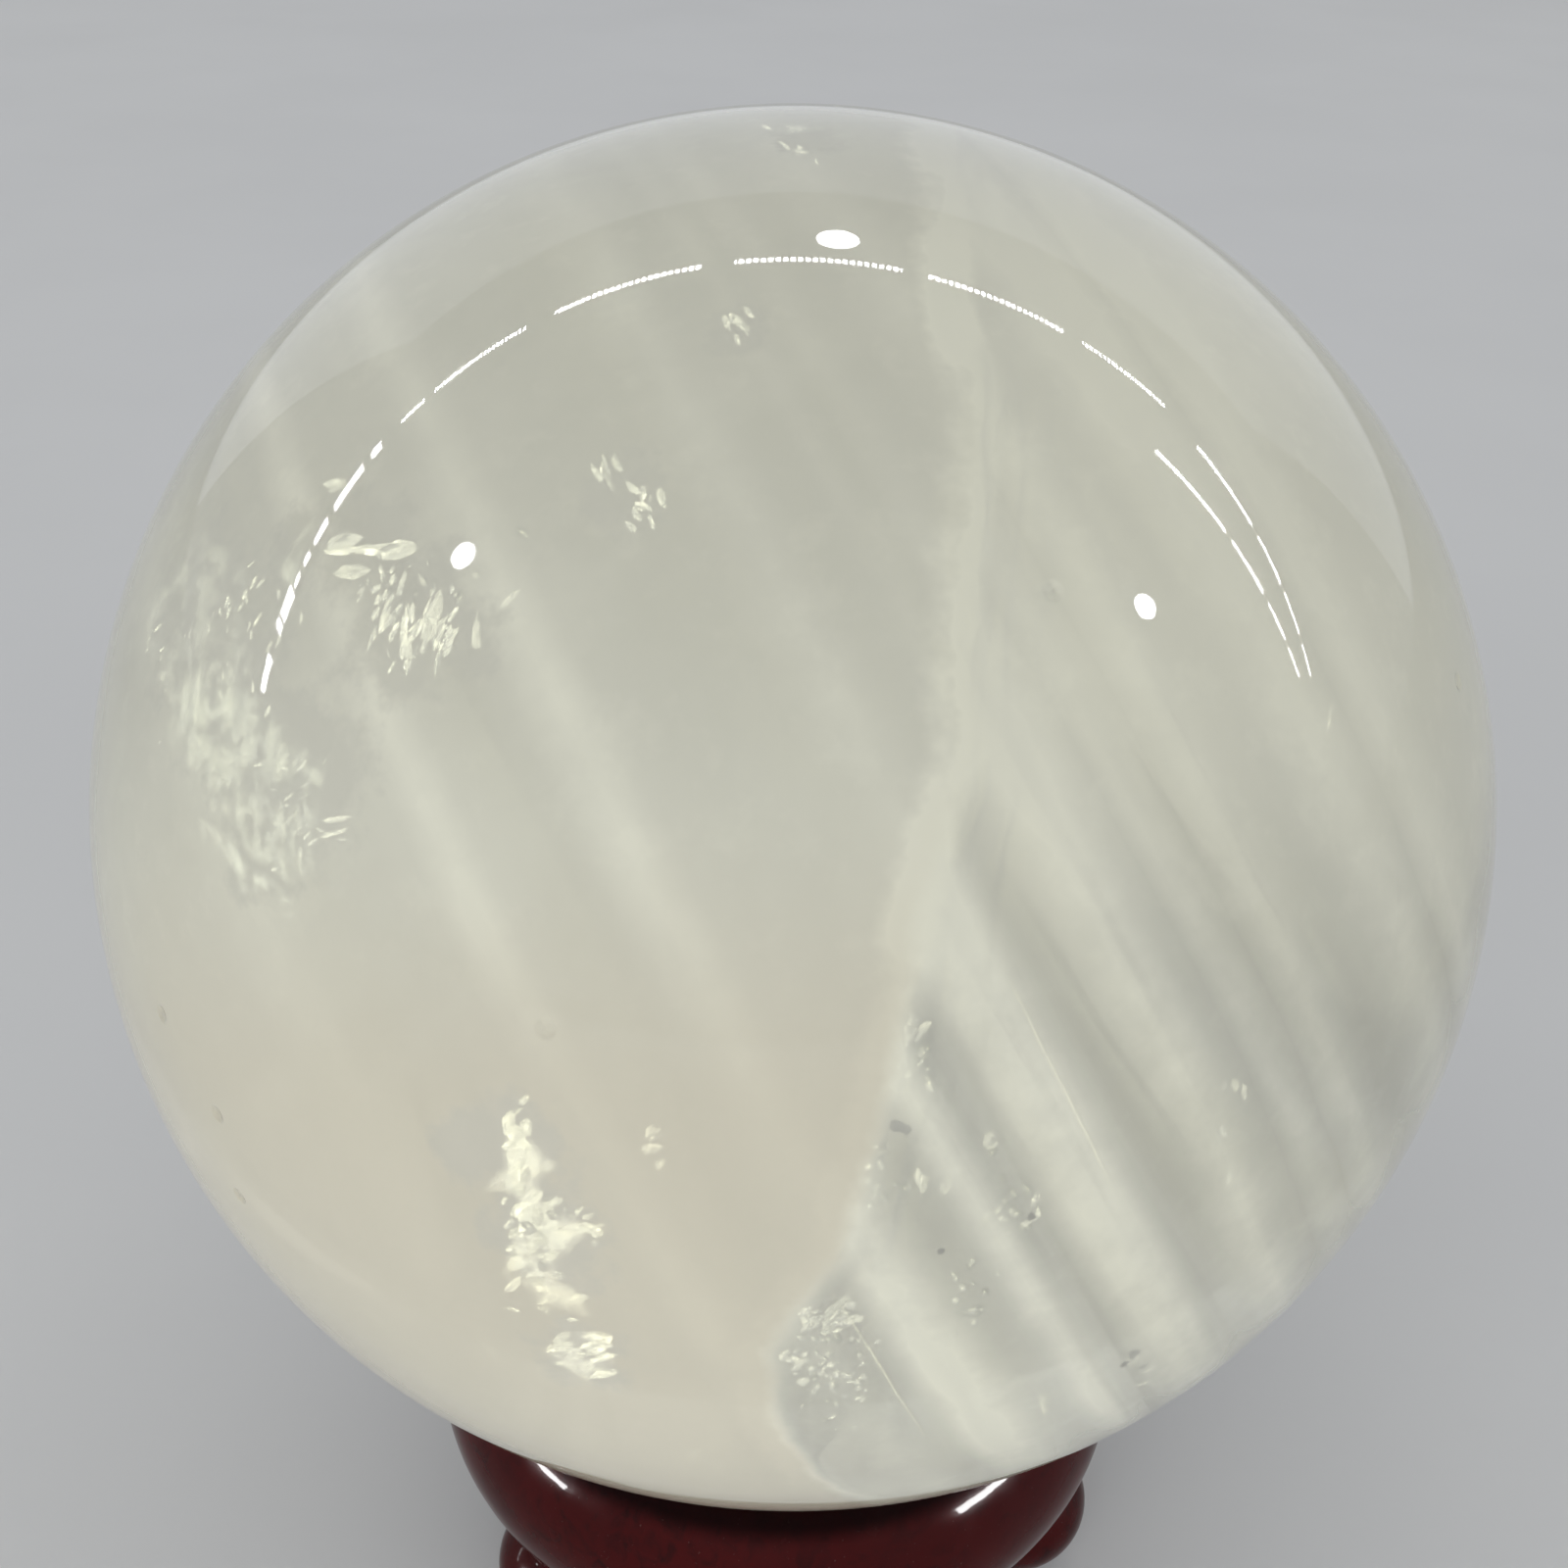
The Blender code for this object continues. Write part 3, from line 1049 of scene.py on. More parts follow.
def add_flake(model, rng, pixel, depth, length, slender, lean):
    """One thin closed flake, lying roughly across the line of sight and tilted at random."""
    middle = inner_point(pixel, depth)
    size = FLAKE_GROWTH * length / BALL_PIXEL_RADIUS
    turn = Matrix.Rotation(lean, 3, "Z")
    tip_x = Matrix.Rotation(rng.gauss(0.0, FLAKE_TILT), 3, "X")
    tip = tip_x @ Matrix.Rotation(rng.gauss(0.0, FLAKE_TILT), 3, "Y")
    outline = flake_outline(rng, size, slender)
    raised = tip @ Vector((0.0, 0.0, FLAKE_THICKNESS))
    centre_front = model.verts.new((middle + raised) * BALL_RADIUS)
    centre_back = model.verts.new((middle - raised) * BALL_RADIUS)
    rim = []
    for x, y in outline:
        curl = 0.15 * size * (x * x + y * y) / (size * size) * rng.uniform(-1.0, 1.0)
        rim.append(model.verts.new((middle + turn @ (tip @ Vector((x, y, curl)))) * BALL_RADIUS))
    for index, corner in enumerate(rim):
        after = rim[(index + 1) % len(rim)]
        model.faces.new((centre_front, corner, after))
        model.faces.new((centre_back, after, corner))


def cluster_mesh(name, clusters, seed):
    """All the flakes of several clusters in one mesh."""
    rng = random.Random(seed)
    model = bmesh.new()
    for cluster in clusters:
        for _ in range(cluster.count):
            pixel = (rng.gauss(cluster.pixel[0], cluster.spread[0] * 0.6),
                     rng.gauss(cluster.pixel[1], cluster.spread[1] * 0.6))
            depth = max(0.02, rng.gauss(cluster.depth, cluster.depth * 0.25))
            length = rng.uniform(*cluster.length)
            lean = cluster.lean + rng.gauss(0.0, 0.25)
            add_flake(model, rng, pixel, depth, length, cluster.slender, lean)
    mesh = mesh_from(model, name, face_turn())
    mesh.shade_flat()
    return mesh


# Bubbles in the clear stone: middle pixel, spread in pixels, count and depth
BUBBLE_GROUPS = (
    ((930, 1080), (18, 60), 16, 0.18),
    ((900, 1200), (20, 40), 16, 0.20),
    ((850, 1400), (40, 50), 40, 0.20),
    ((1030, 1220), (30, 60), 22, 0.16),
    ((985, 1330), (40, 50), 16, 0.18),
    ((440, 590), (60, 50), 18, 0.14),
    ((560, 1260), (40, 60), 16, 0.14),
)
BUBBLE_SIZES = (0.0022, 0.0060)


def bubble_mesh(seed):
    """Small round fluid bubbles scattered in the clear stone."""
    rng = random.Random(seed + BUBBLE_SEED_STEP)
    model = bmesh.new()
    for pixel, spread, count, depth in BUBBLE_GROUPS:
        for _ in range(count):
            spot_pixel = (rng.gauss(pixel[0], spread[0] * 0.5), rng.gauss(pixel[1], spread[1] * 0.5))
            middle = inner_point(spot_pixel, max(0.03, rng.gauss(depth, 0.04)))
            radius = rng.uniform(*BUBBLE_SIZES)
            stretch = Matrix.Diagonal((1.0, rng.uniform(1.0, 1.9), 1.0, 1.0))
            turn = Matrix.Rotation(rng.uniform(0.0, math.pi), 4, "Z")
            matrix = Matrix.Translation(middle * BALL_RADIUS) @ turn @ stretch
            bmesh.ops.create_icosphere(model, subdivisions=2, radius=radius * BALL_RADIUS, matrix=matrix)
    return mesh_from(model, "fluid_bubbles", face_turn())


# Dark mineral grains: pixel, depth and size, both in ball radii
GRAINS = (
    ((165, 1035), 0.012, 0.0052), ((222, 1137), 0.014, 0.0052), ((245, 1220), 0.012, 0.0042),
    ((1155, 1380), 0.045, 0.0100), ((1146, 1390), 0.050, 0.0075), ((1165, 1392), 0.045, 0.0060),
    ((960, 1276), 0.060, 0.0046), ((1075, 603), 0.012, 0.0030), ((125, 798), 0.012, 0.0036),
    ((1052, 1240), 0.070, 0.0060), ((915, 1148), 0.100, 0.0090), ((925, 1152), 0.110, 0.0070),
)


def grain_mesh():
    """Small angular dark grains shut in the stone just under its surface."""
    model = bmesh.new()
    for index, (pixel, depth, size) in enumerate(GRAINS):
        middle = inner_point(pixel, depth + size) * BALL_RADIUS
        made = bmesh.ops.create_icosphere(model, subdivisions=2, radius=size * BALL_RADIUS)
        for vertex in made["verts"]:
            rough = 0.75 + 0.6 * noise.noise(vertex.co * 2600.0 + Vector((index, 0.0, 0.0)))
            vertex.co = vertex.co * rough + middle
    return mesh_from(model, "dark_grains", face_turn())


def grain_material():
    """Dark brown-black mineral with a dull shine and paler faces."""
    graph = Graph("dark_mineral")
    place = graph.place()
    shade = graph.ramp(graph.noise(place, scale=120.0), 0.35, 0.65)
    colour = graph.blend(shade, (0.030, 0.027, 0.022), (0.12, 0.11, 0.09))
    shader = graph.node("BsdfPrincipled", {"Base Color": colour, "Roughness": 0.4})
    graph.surface(shader.outputs[0])
    return graph.material


def bubble_material():
    """Grey, slightly cloudy bubbles that catch light."""
    graph = Graph("fluid_bubble")
    place = graph.place()
    cloud = graph.ramp(graph.noise(place, scale=60.0, detail=2.0), 0.3, 0.7)
    colour = graph.blend(cloud, (0.18, 0.19, 0.20), (0.52, 0.54, 0.60))
    shader = graph.node("BsdfPrincipled", {"Base Color": colour, "Roughness": 0.15})
    graph.surface(shader.outputs[0])
    return graph.material


# The stand

RING_STEPS = 240
RING_ARC_POINTS = 84
RING_ARRIS = 0.0006
RING_ROLL_RADIUS = 0.0142


def ring_section():
    """The ring's round section with its level underside, as (radius, height) points.

    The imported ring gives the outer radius, the top and the underside.
    """
    base = RING_LOW[2]
    roll = RING_ROLL_RADIUS
    centre_radius = RING_HIGH[0] - roll
    centre_height = RING_HIGH[2] - roll
    cut = math.asin((centre_height - base) / roll)
    arris = RING_ARRIS / roll
    first_angle = math.pi + cut - arris
    sweep = -2.0 * cut - math.pi + 2.0 * arris
    points = []
    for index in range(RING_ARC_POINTS):
        angle = first_angle + sweep * index / (RING_ARC_POINTS - 1)
        points.append((centre_radius + roll * math.cos(angle), centre_height + roll * math.sin(angle)))
    last_radius, last_height = points[-1]
    first_radius, first_height = points[0]
    points.append((last_radius - RING_ARRIS * 0.7, base))
    points.append((first_radius + RING_ARRIS * 0.7, base))
    return points


PEEL_SCALE = 160.0


def turned(name, section, steps, peel):
    """Turns a closed section round Z, with the gentle waviness of brushed lacquer."""
    model = bmesh.new()
    rings = []
    for step in range(steps):
        angle = 2.0 * math.pi * step / steps
        ring = []
        for radius, height in section:
            point = Vector((radius * math.cos(angle), radius * math.sin(angle), height))
            ring.append(model.verts.new(point))
        rings.append(ring)
    for step in range(steps):
        near = rings[step]
        far = rings[(step + 1) % steps]
        for low in range(len(section)):
            high = (low + 1) % len(section)
            model.faces.new((near[low], near[high], far[high], far[low]))
    bmesh.ops.recalc_face_normals(model, faces=model.faces)
    model.normal_update()
    low_height = min(height for _, height in section)
    moves = []
    for vertex in model.verts:
        wave = noise.noise(vertex.co * PEEL_SCALE) * peel - peel
        keep = 0.0 if vertex.co.z < low_height + 1e-6 else 1.0
        moves.append(vertex.normal * wave * keep)
    for vertex, move in zip(model.verts, moves):
        vertex.co += move
    return mesh_from(model, name)


FOOT_STEPS = 72
FOOT_ARC_POINTS = 30
FOOT_BULGE_SHARE = 0.5429
FOOT_SHARP_ANGLE = math.radians(50.0)


def foot_mesh(name, node):
    """A small turned bun foot with level top and bottom faces."""
    low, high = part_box(node)
    middle_x = (low[0] + high[0]) / 2.0
    middle_y = (low[1] + high[1]) / 2.0
    height = high[2] - low[2]
    widest = (high[0] - low[0]) / 2.0
    bulge = widest * FOOT_BULGE_SHARE
    core = widest - bulge
    model = bmesh.new()
    rings = []
    for index in range(FOOT_ARC_POINTS):
        angle = math.pi * (0.5 - index / (FOOT_ARC_POINTS - 1))
        radius = core + bulge * math.cos(angle)
        level = low[2] + height / 2.0 * (1.0 + math.sin(angle))
        matrix = Matrix.Translation((middle_x, middle_y, level))
        made = bmesh.ops.create_circle(
            model, segments=FOOT_STEPS, radius=radius, cap_ends=False, matrix=matrix)
        rings.append(made["verts"])
    for upper, lower in zip(rings, rings[1:]):
        for step in range(FOOT_STEPS):
            after = (step + 1) % FOOT_STEPS
            model.faces.new((upper[step], upper[after], lower[after], lower[step]))
    model.faces.new(rings[0])
    model.faces.new(rings[-1])
    bmesh.ops.recalc_face_normals(model, faces=model.faces)
    mesh = mesh_from(model, name)
    mesh.set_sharp_from_angle(angle=FOOT_SHARP_ANGLE)
    return mesh


# The studio

def keep_light_to(light, lit, shading=None):
    """Keeps a light to one group of pieces and, where named, its shadows to those of another."""
    light.light_linking.receiver_collection = light_group(lit)
    if shading:
        light.light_linking.blocker_collection = light_group(shading)


def add_area_light(name, size, location, target, radiance, colour=(1.0, 1.0, 1.0), disk=False,
                   lights_matt=False):
    """A light of the given size in metres that faces the target and stays out of the camera's sight.

    Unless it lights matt surfaces too, it only shows as a highlight.
    """
    data = bpy.data.lights.new(name, "AREA")
    data.shape = "DISK" if disk else "RECTANGLE"
    data.size = size[0]
    if not disk:
        data.size_y = size[1]
    area = size[0] * size[1] * (math.pi / 4.0 if disk else 1.0)
    data.energy = radiance * area * math.pi
    data.color = colour
    light = bpy.data.objects.new(name, data)
    light.location = location
    light.rotation_mode = "QUATERNION"
    light.rotation_quaternion = (Vector(target) - Vector(location)).to_track_quat("-Z", "Y")
    light.visible_camera = False
    light.visible_diffuse = lights_matt
    bpy.context.scene.collection.objects.link(light)
    return light


# Sizes and places of the lights, in metres
LIGHT_HEIGHT = 1.2
FRONT_BOX_PLACE = (-0.4, -1.7, 1.1)
FRONT_BOX_SIZE = (1.8, 1.8)
GLINT_BOX_SIZE = (1.2, 1.2)
GLINT_TINT = (0.88, 0.90, 1.0)
LOW_BOX_PLACE = (-0.08, -0.23, 0.012)
LOW_BOX_SIZE = (0.5, 0.07)
LOW_BOX_AIM = BALL_CENTRE * 0.8
SKY_TINT = (0.97, 0.985, 1.0, 1.0)
BEAD_PITCH = 0.017
BEAD_GAP_SHARE = 0.40
# Each strip light: where it starts and ends on the ceiling, its width, and the spans of it that are dark
STRIPS = (
    ((-6.25, 0.44), (-3.08, 0.55), 0.130, ((-4.69, -3.90), (-3.70, -3.60))),
    ((-3.00, 0.553), (-1.50, 0.605), 0.050,
     ((-2.82, -2.68), (-2.52, -2.40), (-2.15, -2.03), (-1.67, -1.59))),
    ((-1.35, 0.61), (1.10, 0.598), 0.020,
     ((-1.20, -1.14), (-0.735, -0.643), (-0.246, -0.167), (0.220, 0.283), (0.665, 0.736))),
    ((1.07, 0.337), (3.60, 0.18), 0.020, ((1.62, 1.70), (2.20, 2.32), (2.85, 3.0))),
    ((1.30, 0.556), (3.98, 0.344), 0.020, ((1.85, 1.94), (2.40, 2.52), (3.1, 3.3))),
)
LAMP_PLACES = ((-1.14, -0.21), (1.27, -0.31), (0.07, 0.74))
LAMP_DIAMETER = 0.10
# Small lamps that only the lacquer catches: direction and size
STAND_LAMPS = (
    ((-0.90, -0.31, 0.25), (0.30, 0.07)),
    ((0.88, -0.30, 0.29), (0.50, 0.10)),
)
STAND_LAMP_AIM = BALL_CENTRE * 0.3
PANEL_WIDTH = 3.6
PANEL_ACROSS = 0.25
PANEL_TINT = (0.88, 0.92, 1.0)
PANEL_DISTANCE = 1.35
PANEL_TOP_ELEVATION = math.radians(43.0)


def bead_the_strip(data, start_x, end_x, gaps, length):
    """Breaks a strip light's glow into beads, with a dark gap at each joint between its lengths."""
    data.use_nodes = True
    nodes = data.node_tree.nodes
    links = data.node_tree.links
    emission = nodes["Emission"]

    def sum_node(operation, first, second):
        node = nodes.new("ShaderNodeMath")
        node.operation = operation
        for socket, value in zip(node.inputs, (first, second)):
            if isinstance(value, bpy.types.NodeSocket):
                links.new(value, socket)
            else:
                socket.default_value = value
        return node.outputs[0]

    parts = nodes.new("ShaderNodeSeparateXYZ")
    links.new(nodes.new("ShaderNodeNewGeometry").outputs["Parametric"], parts.inputs[0])
    share = parts.outputs[0]
    bead = sum_node("PINGPONG", sum_node("MULTIPLY", share, length / BEAD_PITCH), 0.5)
    glow = sum_node("GREATER_THAN", bead, BEAD_GAP_SHARE / 2.0)
    for dark_from, dark_to in gaps:
        middle = ((dark_from + dark_to) / 2.0 - start_x) / (end_x - start_x)
        away = sum_node("ABSOLUTE", sum_node("SUBTRACT", share, middle), 0.0)
        half = (dark_to - dark_from) / 2.0 / (end_x - start_x)
        glow = sum_node("MULTIPLY", glow, sum_node("GREATER_THAN", away, half))
    links.new(glow, emission.inputs["Strength"])


def strip_light(name, start, end, width, gaps, radiance):
    """A slim strip light overhead from one (x, y) to another, facing down."""
    first = Vector((*start, LIGHT_HEIGHT))
    last = Vector((*end, LIGHT_HEIGHT))
    length = (last - first).length
    middle = (first + last) / 2.0
    light = add_area_light(name, (length, width), middle, middle - Vector((0.0, 0.0, 1.0)), radiance)
    light.rotation_mode = "XYZ"
    light.rotation_euler = (0.0, 0.0, math.atan2(last.y - first.y, last.x - first.x))
    bead_the_strip(light.data, start[0], end[0], gaps, length)
    keep_light_to(light, "polished")


def add_sky(settings):
    """Even light from all round, which the polish mirrors to the camera only faintly."""
    world = bpy.data.worlds.new("even_studio_light")
    world.use_nodes = True
    nodes = world.node_tree.nodes
    links = world.node_tree.links
    background = nodes["Background"]
    background.inputs["Color"].default_value = SKY_TINT
    ray = nodes.new("ShaderNodeLightPath")
    first = nodes.new("ShaderNodeMath")
    first.operation = "LESS_THAN"
    first.inputs[1].default_value = 1.5
    links.new(ray.outputs["Ray Depth"], first.inputs[0])
    mirrored = nodes.new("ShaderNodeMath")
    mirrored.operation = "MULTIPLY"
    links.new(ray.outputs["Is Glossy Ray"], mirrored.inputs[0])
    links.new(first.outputs[0], mirrored.inputs[1])
    strength = nodes.new("ShaderNodeMapRange")
    strength.inputs["To Min"].default_value = settings.sky_brightness
    strength.inputs["To Max"].default_value = settings.sky_brightness * settings.mirrored_sky
    links.new(mirrored.outputs[0], strength.inputs["Value"])
    links.new(strength.outputs["Result"], background.inputs["Strength"])
    world.cycles.sampling_method = "NONE"
    bpy.context.scene.world = world


def add_lights(settings):
    """A large soft panel behind, soft boxes in front, and slim strips and round lamps overhead."""
    panel_height = PANEL_DISTANCE * math.tan(PANEL_TOP_ELEVATION)
    panel_middle = BALL_CENTRE.z + panel_height / 2.0
    add_area_light("soft_back_panel", (PANEL_WIDTH, panel_height),
                   (PANEL_ACROSS, PANEL_DISTANCE, panel_middle), (PANEL_ACROSS, 0.0, panel_middle),
                   settings.panel_brightness, PANEL_TINT)
    front = settings.front_brightness
    room_box = add_area_light("soft_front_box", FRONT_BOX_SIZE, FRONT_BOX_PLACE, BALL_CENTRE, front,
                              lights_matt=True)
    light_group("room").children.link(light_group("stand"))
    keep_light_to(room_box, "room")
    stone_box = add_area_light("stone_front_box", FRONT_BOX_SIZE, FRONT_BOX_PLACE, BALL_CENTRE, front,
                               lights_matt=True)
    keep_light_to(stone_box, "stone", shading="stand")
    low_box = add_area_light("low_front_box", LOW_BOX_SIZE, LOW_BOX_PLACE, LOW_BOX_AIM,
                             settings.low_brightness, lights_matt=True)
    keep_light_to(low_box, "stone", shading="stand")
    for box in (room_box, stone_box, low_box):
        box.visible_glossy = False
    glint_box = add_area_light("glint_box", GLINT_BOX_SIZE, FRONT_BOX_PLACE, BALL_CENTRE,
                               settings.glint_brightness, GLINT_TINT, lights_matt=True)
    keep_light_to(glint_box, "glinting", shading="stand")
    # The stone would show these boxes, turned upside down, to a camera behind it
    for box in (room_box, stone_box, low_box, glint_box):
        box.visible_transmission = False
    for index, (direction, size) in enumerate(STAND_LAMPS):
        where = STAND_LAMP_AIM + Vector(direction).normalized()
        lamp = add_area_light(f"stand_lamp_{index}", size, where, STAND_LAMP_AIM,
                              settings.stand_lamp_brightness)
        keep_light_to(lamp, "stand")
    for index, (start, end, width, gaps) in enumerate(STRIPS):
        strip_light(f"strip_{index}", start, end, width, gaps, settings.strip_brightness)
    for index, place in enumerate(LAMP_PLACES):
        where = Vector((*place, LIGHT_HEIGHT))
        lamp = add_area_light(f"round_lamp_{index}", (LAMP_DIAMETER, LAMP_DIAMETER), where, BALL_CENTRE,
                              settings.lamp_brightness, disk=True)
        keep_light_to(lamp, "polished")


def add_floor(settings):
    """A plain pale floor, far wider than the view."""
    model = bmesh.new()
    bmesh.ops.create_grid(model, x_segments=8, y_segments=8, size=9.0)
    floor = bpy.data.objects.new("plain_floor", mesh_from(model, "plain_floor"))
    floor.data.materials.append(floor_material(settings))
    bpy.context.scene.collection.objects.link(floor)
    light_group("room").objects.link(floor)


def add_camera():
    """The camera at the photograph's viewing angle, tilt and framing."""
    level_right, upward, outward = level_axes()
    off_x = BALL_PIXEL[0] - PHOTO_MIDDLE
    off_y = BALL_PIXEL[1] - PHOTO_MIDDLE
    across = math.cos(CAMERA_ROLL) * off_x + math.sin(CAMERA_ROLL) * off_y
    down = math.cos(CAMERA_ROLL) * off_y - math.sin(CAMERA_ROLL) * off_x
    tilt = math.atan(down / FOCAL_PIXELS)
    swing = math.atan(across / FOCAL_PIXELS)
    ahead = -outward * math.cos(tilt) + upward * math.sin(tilt)
    top = upward * math.cos(tilt) + outward * math.sin(tilt)
    view = ahead * math.cos(swing) - level_right * math.sin(swing)
    side = level_right * math.cos(swing) + ahead * math.sin(swing)
    right = math.cos(CAMERA_ROLL) * side + math.sin(CAMERA_ROLL) * top
    up = math.cos(CAMERA_ROLL) * top - math.sin(CAMERA_ROLL) * side
    data = bpy.data.cameras.new("photo_camera")
    data.sensor_width = SENSOR_WIDTH
    data.lens = FOCAL_PIXELS / PHOTO_SIZE * SENSOR_WIDTH
    data.clip_start = 0.01
    camera = bpy.data.objects.new("photo_camera", data)
    turn = Matrix((right, up, -view)).transposed().to_4x4()
    place = BALL_CENTRE + outward * CAMERA_DISTANCE * BALL_RADIUS
    camera.matrix_world = Matrix.Translation(place) @ turn
    bpy.context.scene.collection.objects.link(camera)
    bpy.context.scene.camera = camera


def limit_bounces(cycles):
    """Enough bounces for light to cross the stone and come out, and no more, to keep renders short."""
    cycles.max_bounces = 3
    cycles.diffuse_bounces = 1
    cycles.glossy_bounces = 1
    cycles.transmission_bounces = 3
    cycles.transparent_max_bounces = 6
    cycles.light_sampling_threshold = 0.05
    cycles.use_light_tree = False


# Operators

class QUARTZ_OT_studio(bpy.types.Operator):
    """Add the plain pale floor, the soft studio light and the camera"""
    bl_idname = "quartz.studio"
    bl_label = "Studio"

    def execute(self, context):
        settings = context.scene.quartz_studio
        add_floor(settings)
        add_sky(settings)
        add_lights(settings)
        add_camera()
        context.scene.view_settings.view_transform = "Standard"
        limit_bounces(context.scene.cycles)
        return {"FINISHED"}


class QUARTZ_OT_ball(bpy.types.Operator):
    """Add the polished ball of milky quartz"""
    bl_idname = "quartz.ball"
    bl_label = "Polished Ball"

    def execute(self, context):
        material = quartz_material(context.scene.quartz_stone)
        ball = add_piece("polished_quartz", ball_mesh(), material, QUARTZ_SLOT, BALL_CENTRE)
        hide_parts("quartz_sphere")
        return {"FINISHED"}


class QUARTZ_OT_growth_veils(bpy.types.Operator):
    """Add the parallel milky growth veils inside the stone"""
    bl_idname = "quartz.growth_veils"
    bl_label = "Growth Veils"

    def execute(self, context):
        material = veil_material("growth_veil", (0.86, 0.86, 0.78), alpha_low=0.10, alpha_high=0.55,
                                 scale=3.0, roughness=0.6, threshold=0.38)
        for name, bands, right in (("growth_veils_right", RIGHT_BANDS, True),
                                   ("growth_veils_left", LEFT_BANDS, False)):
            sheets = [veil_sheet(band, right) for band in bands if band.strength > VEIL_STRENGTH]
            mesh = finish_sheets(sheets, name)
            add_inner_piece(name, mesh, material)
        return {"FINISHED"}


class QUARTZ_OT_healed_fracture(bpy.types.Operator):
    """Add the uneven healed fracture that crosses the stone, and its hairline cracks"""
    bl_idname = "quartz.healed_fracture"
    bl_label = "Healed Fracture"

    def execute(self, context):
        material = veil_material("healed_fracture", (0.93, 0.93, 0.88), alpha_low=0.12, alpha_high=0.9,
                                 scale=5.0, roughness=0.5, threshold=0.40)
        add_inner_piece("healed_fracture", finish_sheets([ridge_sheet()], "healed_fracture"), material)
        fine = veil_material("hairline_crack", (0.66, 0.67, 0.66), alpha_low=0.75, alpha_high=1.0,
                             scale=26.0, roughness=0.4, threshold=0.36)
        mesh = finish_sheets([hairline_sheet(line) for line in HAIRLINES], "hairline_cracks")
        add_inner_piece("hairline_cracks", mesh, fine, glints=True)
        return {"FINISHED"}


class QUARTZ_OT_fracture_films(bpy.types.Operator):
    """Add the silvery fracture films at the left of the stone"""
    bl_idname = "quartz.fracture_films"
    bl_label = "Fracture Films"

    def execute(self, context):
        material = veil_material("silvery_film", (0.84, 0.90, 1.0), alpha_low=0.05, alpha_high=1.0,
                                 scale=26.0, roughness=0.2, threshold=0.40)
        mesh = finish_sheets([film_sheet(film) for film in LEFT_FILMS], "fracture_films")
        add_inner_piece("fracture_films", mesh, material, glints=True)
        return {"FINISHED"}


class QUARTZ_OT_flakes(bpy.types.Operator):
    """Add the clusters of bright and pale flakes"""
    bl_idname = "quartz.flakes"
    bl_label = "Flakes"

    def execute(self, context):
        seed = context.scene.quartz_stone.seed
        bright = flake_material("bright_flake", (0.86, 0.90, 1.0), metallic=0.15, roughness=0.2)
        mesh = cluster_mesh("bright_flakes", BRIGHT_CLUSTERS, seed)
        add_inner_piece("bright_flakes", mesh, bright, glints=True)
        pale = flake_material("pale_flake", (0.55, 0.57, 0.64), metallic=0.10, roughness=0.25)
        mesh = cluster_mesh("pale_flakes", PALE_CLUSTERS, seed + PALE_SEED_STEP)
        add_inner_piece("pale_flakes", mesh, pale, glints=True)
        return {"FINISHED"}


class QUARTZ_OT_pearl_flash(bpy.types.Operator):
    """Add the pearly flash at the lower left"""
    bl_idname = "quartz.pearl_flash"
    bl_label = "Pearly Flash"

    def execute(self, context):
        seed = context.scene.quartz_stone.seed
        film = veil_material("pearly_film", (0.88, 0.91, 0.96), alpha_low=0.15, alpha_high=1.0,
                             scale=26.0, roughness=0.2, threshold=0.36)
        flake = flake_material("pearly_flake", (0.90, 0.94, 0.99), metallic=0.15, roughness=0.2)
        mesh = finish_sheets([film_sheet(part) for part in PEARL_FILMS], "pearly_films")
        add_inner_piece("pearly_films", mesh, film, glints=True)
        mesh = cluster_mesh("pearly_flakes", PEARL_CLUSTERS, seed + PEARL_SEED_STEP)
        add_inner_piece("pearly_flakes", mesh, flake, glints=True)
        return {"FINISHED"}


class QUARTZ_OT_inclusions(bpy.types.Operator):
    """Add the fluid bubbles and the dark mineral grains"""
    bl_idname = "quartz.inclusions"
    bl_label = "Bubbles and Grains"

    def execute(self, context):
        seed = context.scene.quartz_stone.seed
        add_inner_piece("fluid_bubbles", bubble_mesh(seed), bubble_material(), glints=True)
        add_inner_piece("dark_grains", grain_mesh(), grain_material())
        return {"FINISHED"}


class QUARTZ_OT_ring(bpy.types.Operator):
    """Add the lacquered ring that carries the ball"""
    bl_idname = "quartz.ring"
    bl_label = "Lacquered Ring"

    def execute(self, context):
        settings = context.scene.quartz_stand
        mesh = turned("lacquered_ring", ring_section(), RING_STEPS, settings.orange_peel)
        ring = add_piece("lacquered_ring", mesh, lacquer_material(settings), WOOD_SLOT)
        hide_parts("stand_ring")
        return {"FINISHED"}


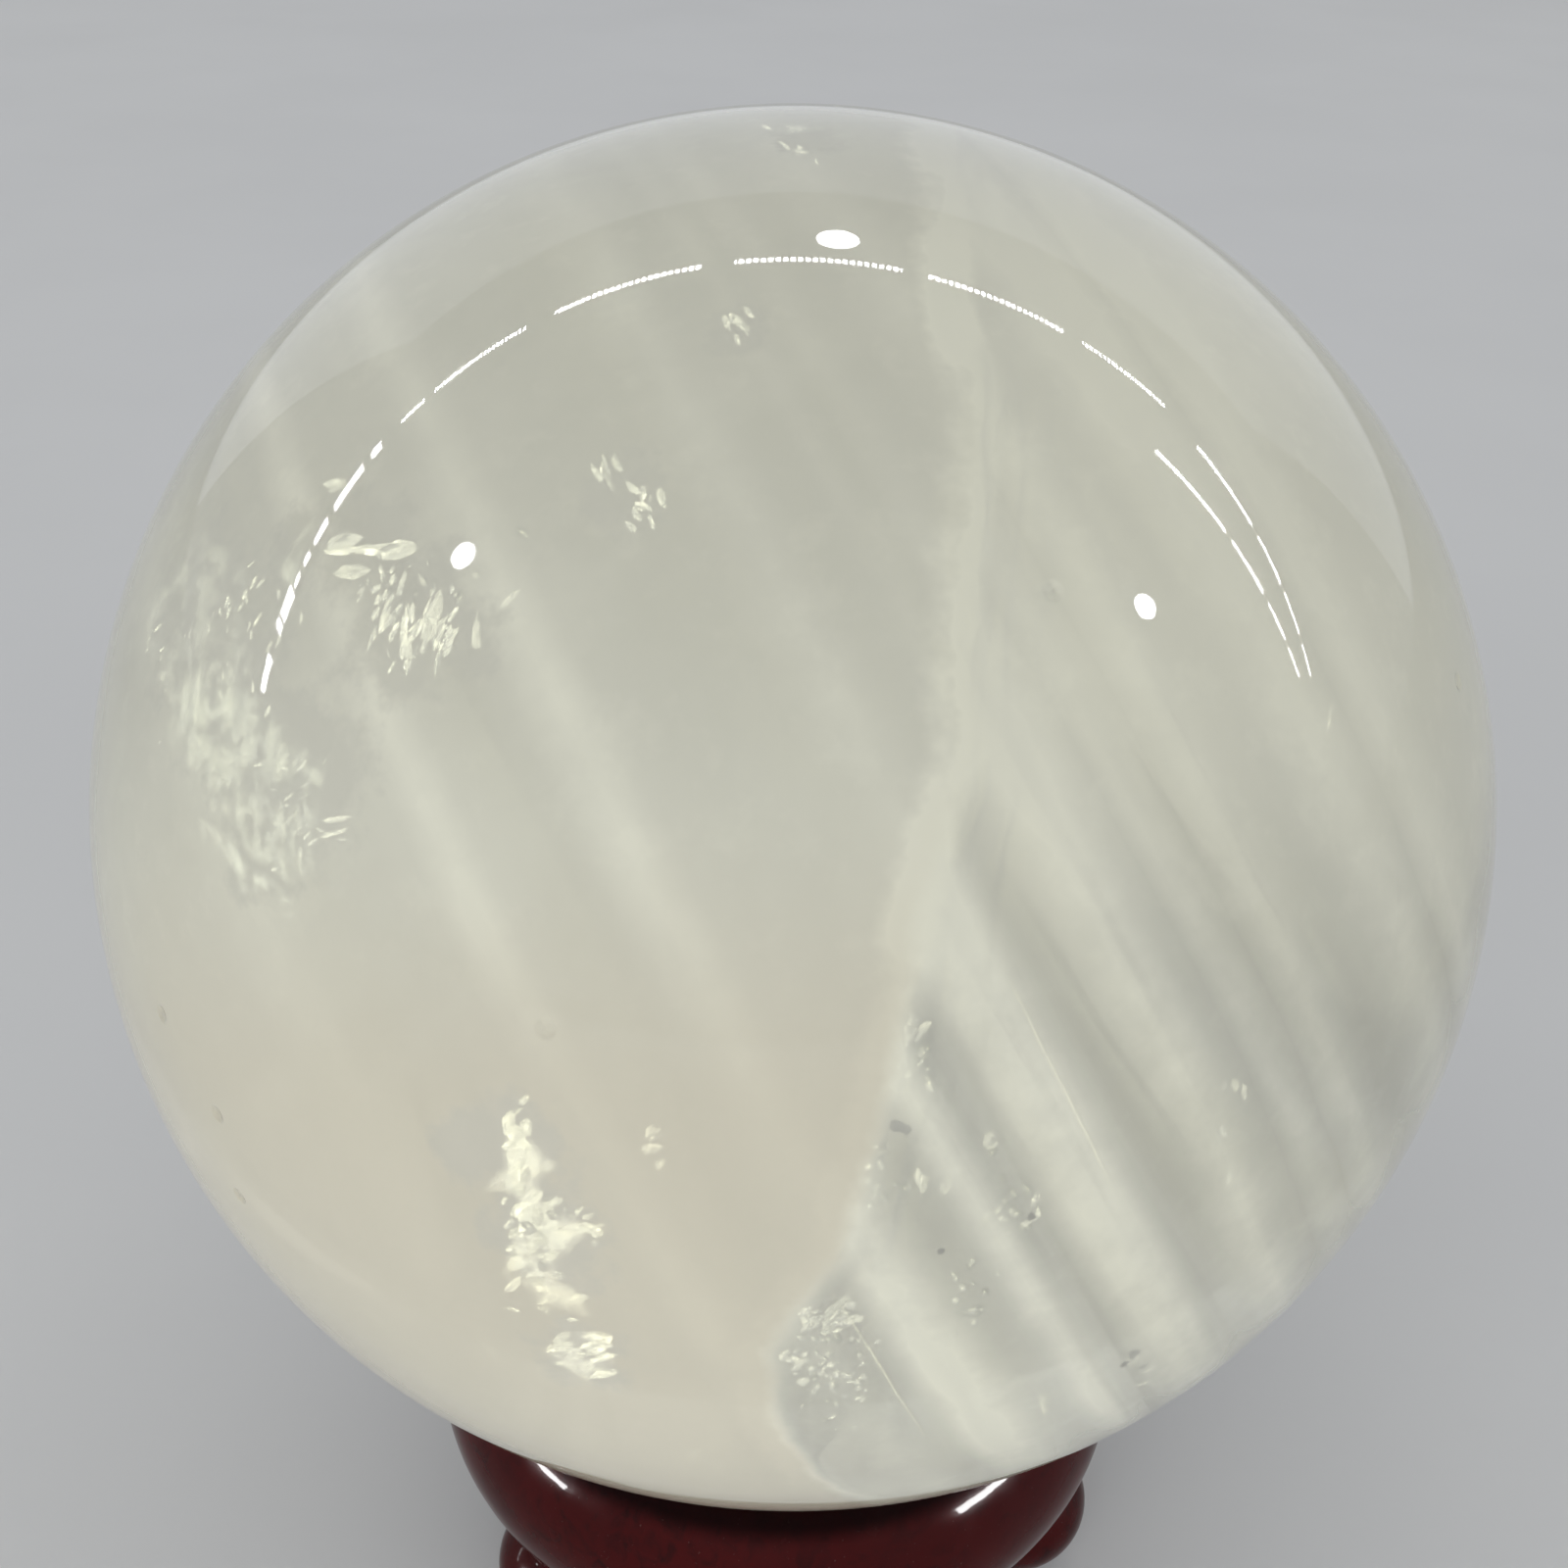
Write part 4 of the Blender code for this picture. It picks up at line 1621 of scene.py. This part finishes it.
class QUARTZ_OT_feet(bpy.types.Operator):
    """Add the three bun feet"""
    bl_idname = "quartz.feet"
    bl_label = "Bun Feet"

    def execute(self, context):
        material = lacquer_material(context.scene.quartz_stand)
        for node in FOOT_NODES:
            name = node.replace("stand_foot", "bun_foot")
            foot = add_piece(name, foot_mesh(name, node), material, WOOD_SLOT)
            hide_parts(node)
        return {"FINISHED"}


class QUARTZ_PT_panel(bpy.types.Panel):
    """Lists the steps that build the dressed quartz ball"""
    bl_idname = "QUARTZ_PT_panel"
    bl_label = "Quartz Ball"
    bl_space_type = "VIEW_3D"
    bl_region_type = "UI"
    bl_category = "Quartz Ball"

    def draw(self, context):
        for group, _ in GROUPS:
            settings = getattr(context.scene, group)
            box = self.layout.box()
            box.label(text=group.removeprefix("quartz_").title())
            for name in settings.__annotations__:
                box.prop(settings, name)
        for step in STEPS:
            self.layout.operator(step.bl_idname)


STEPS = (
    QUARTZ_OT_studio,
    QUARTZ_OT_ball,
    QUARTZ_OT_growth_veils,
    QUARTZ_OT_healed_fracture,
    QUARTZ_OT_fracture_films,
    QUARTZ_OT_flakes,
    QUARTZ_OT_pearl_flash,
    QUARTZ_OT_inclusions,
    QUARTZ_OT_ring,
    QUARTZ_OT_feet,
)
GROUPS = (
    ("quartz_stone", QuartzSettings),
    ("quartz_stand", StandSettings),
    ("quartz_studio", StudioSettings),
)


def register():
    """Registers the settings, the steps and the panel."""
    for name, group in GROUPS:
        bpy.utils.register_class(group)
        setattr(bpy.types.Scene, name, PointerProperty(type=group))
    for step in STEPS:
        bpy.utils.register_class(step)
    bpy.utils.register_class(QUARTZ_PT_panel)


def unregister():
    """Takes away what register added."""
    bpy.utils.unregister_class(QUARTZ_PT_panel)
    for step in reversed(STEPS):
        bpy.utils.unregister_class(step)
    for name, group in reversed(GROUPS):
        delattr(bpy.types.Scene, name)
        bpy.utils.unregister_class(group)


def main():
    """Builds every piece in order."""
    register()
    bpy.ops.quartz.studio()
    bpy.ops.quartz.ball()
    bpy.ops.quartz.growth_veils()
    bpy.ops.quartz.healed_fracture()
    bpy.ops.quartz.fracture_films()
    bpy.ops.quartz.flakes()
    bpy.ops.quartz.pearl_flash()
    bpy.ops.quartz.inclusions()
    bpy.ops.quartz.ring()
    bpy.ops.quartz.feet()


if __name__ == "__main__":
    main()
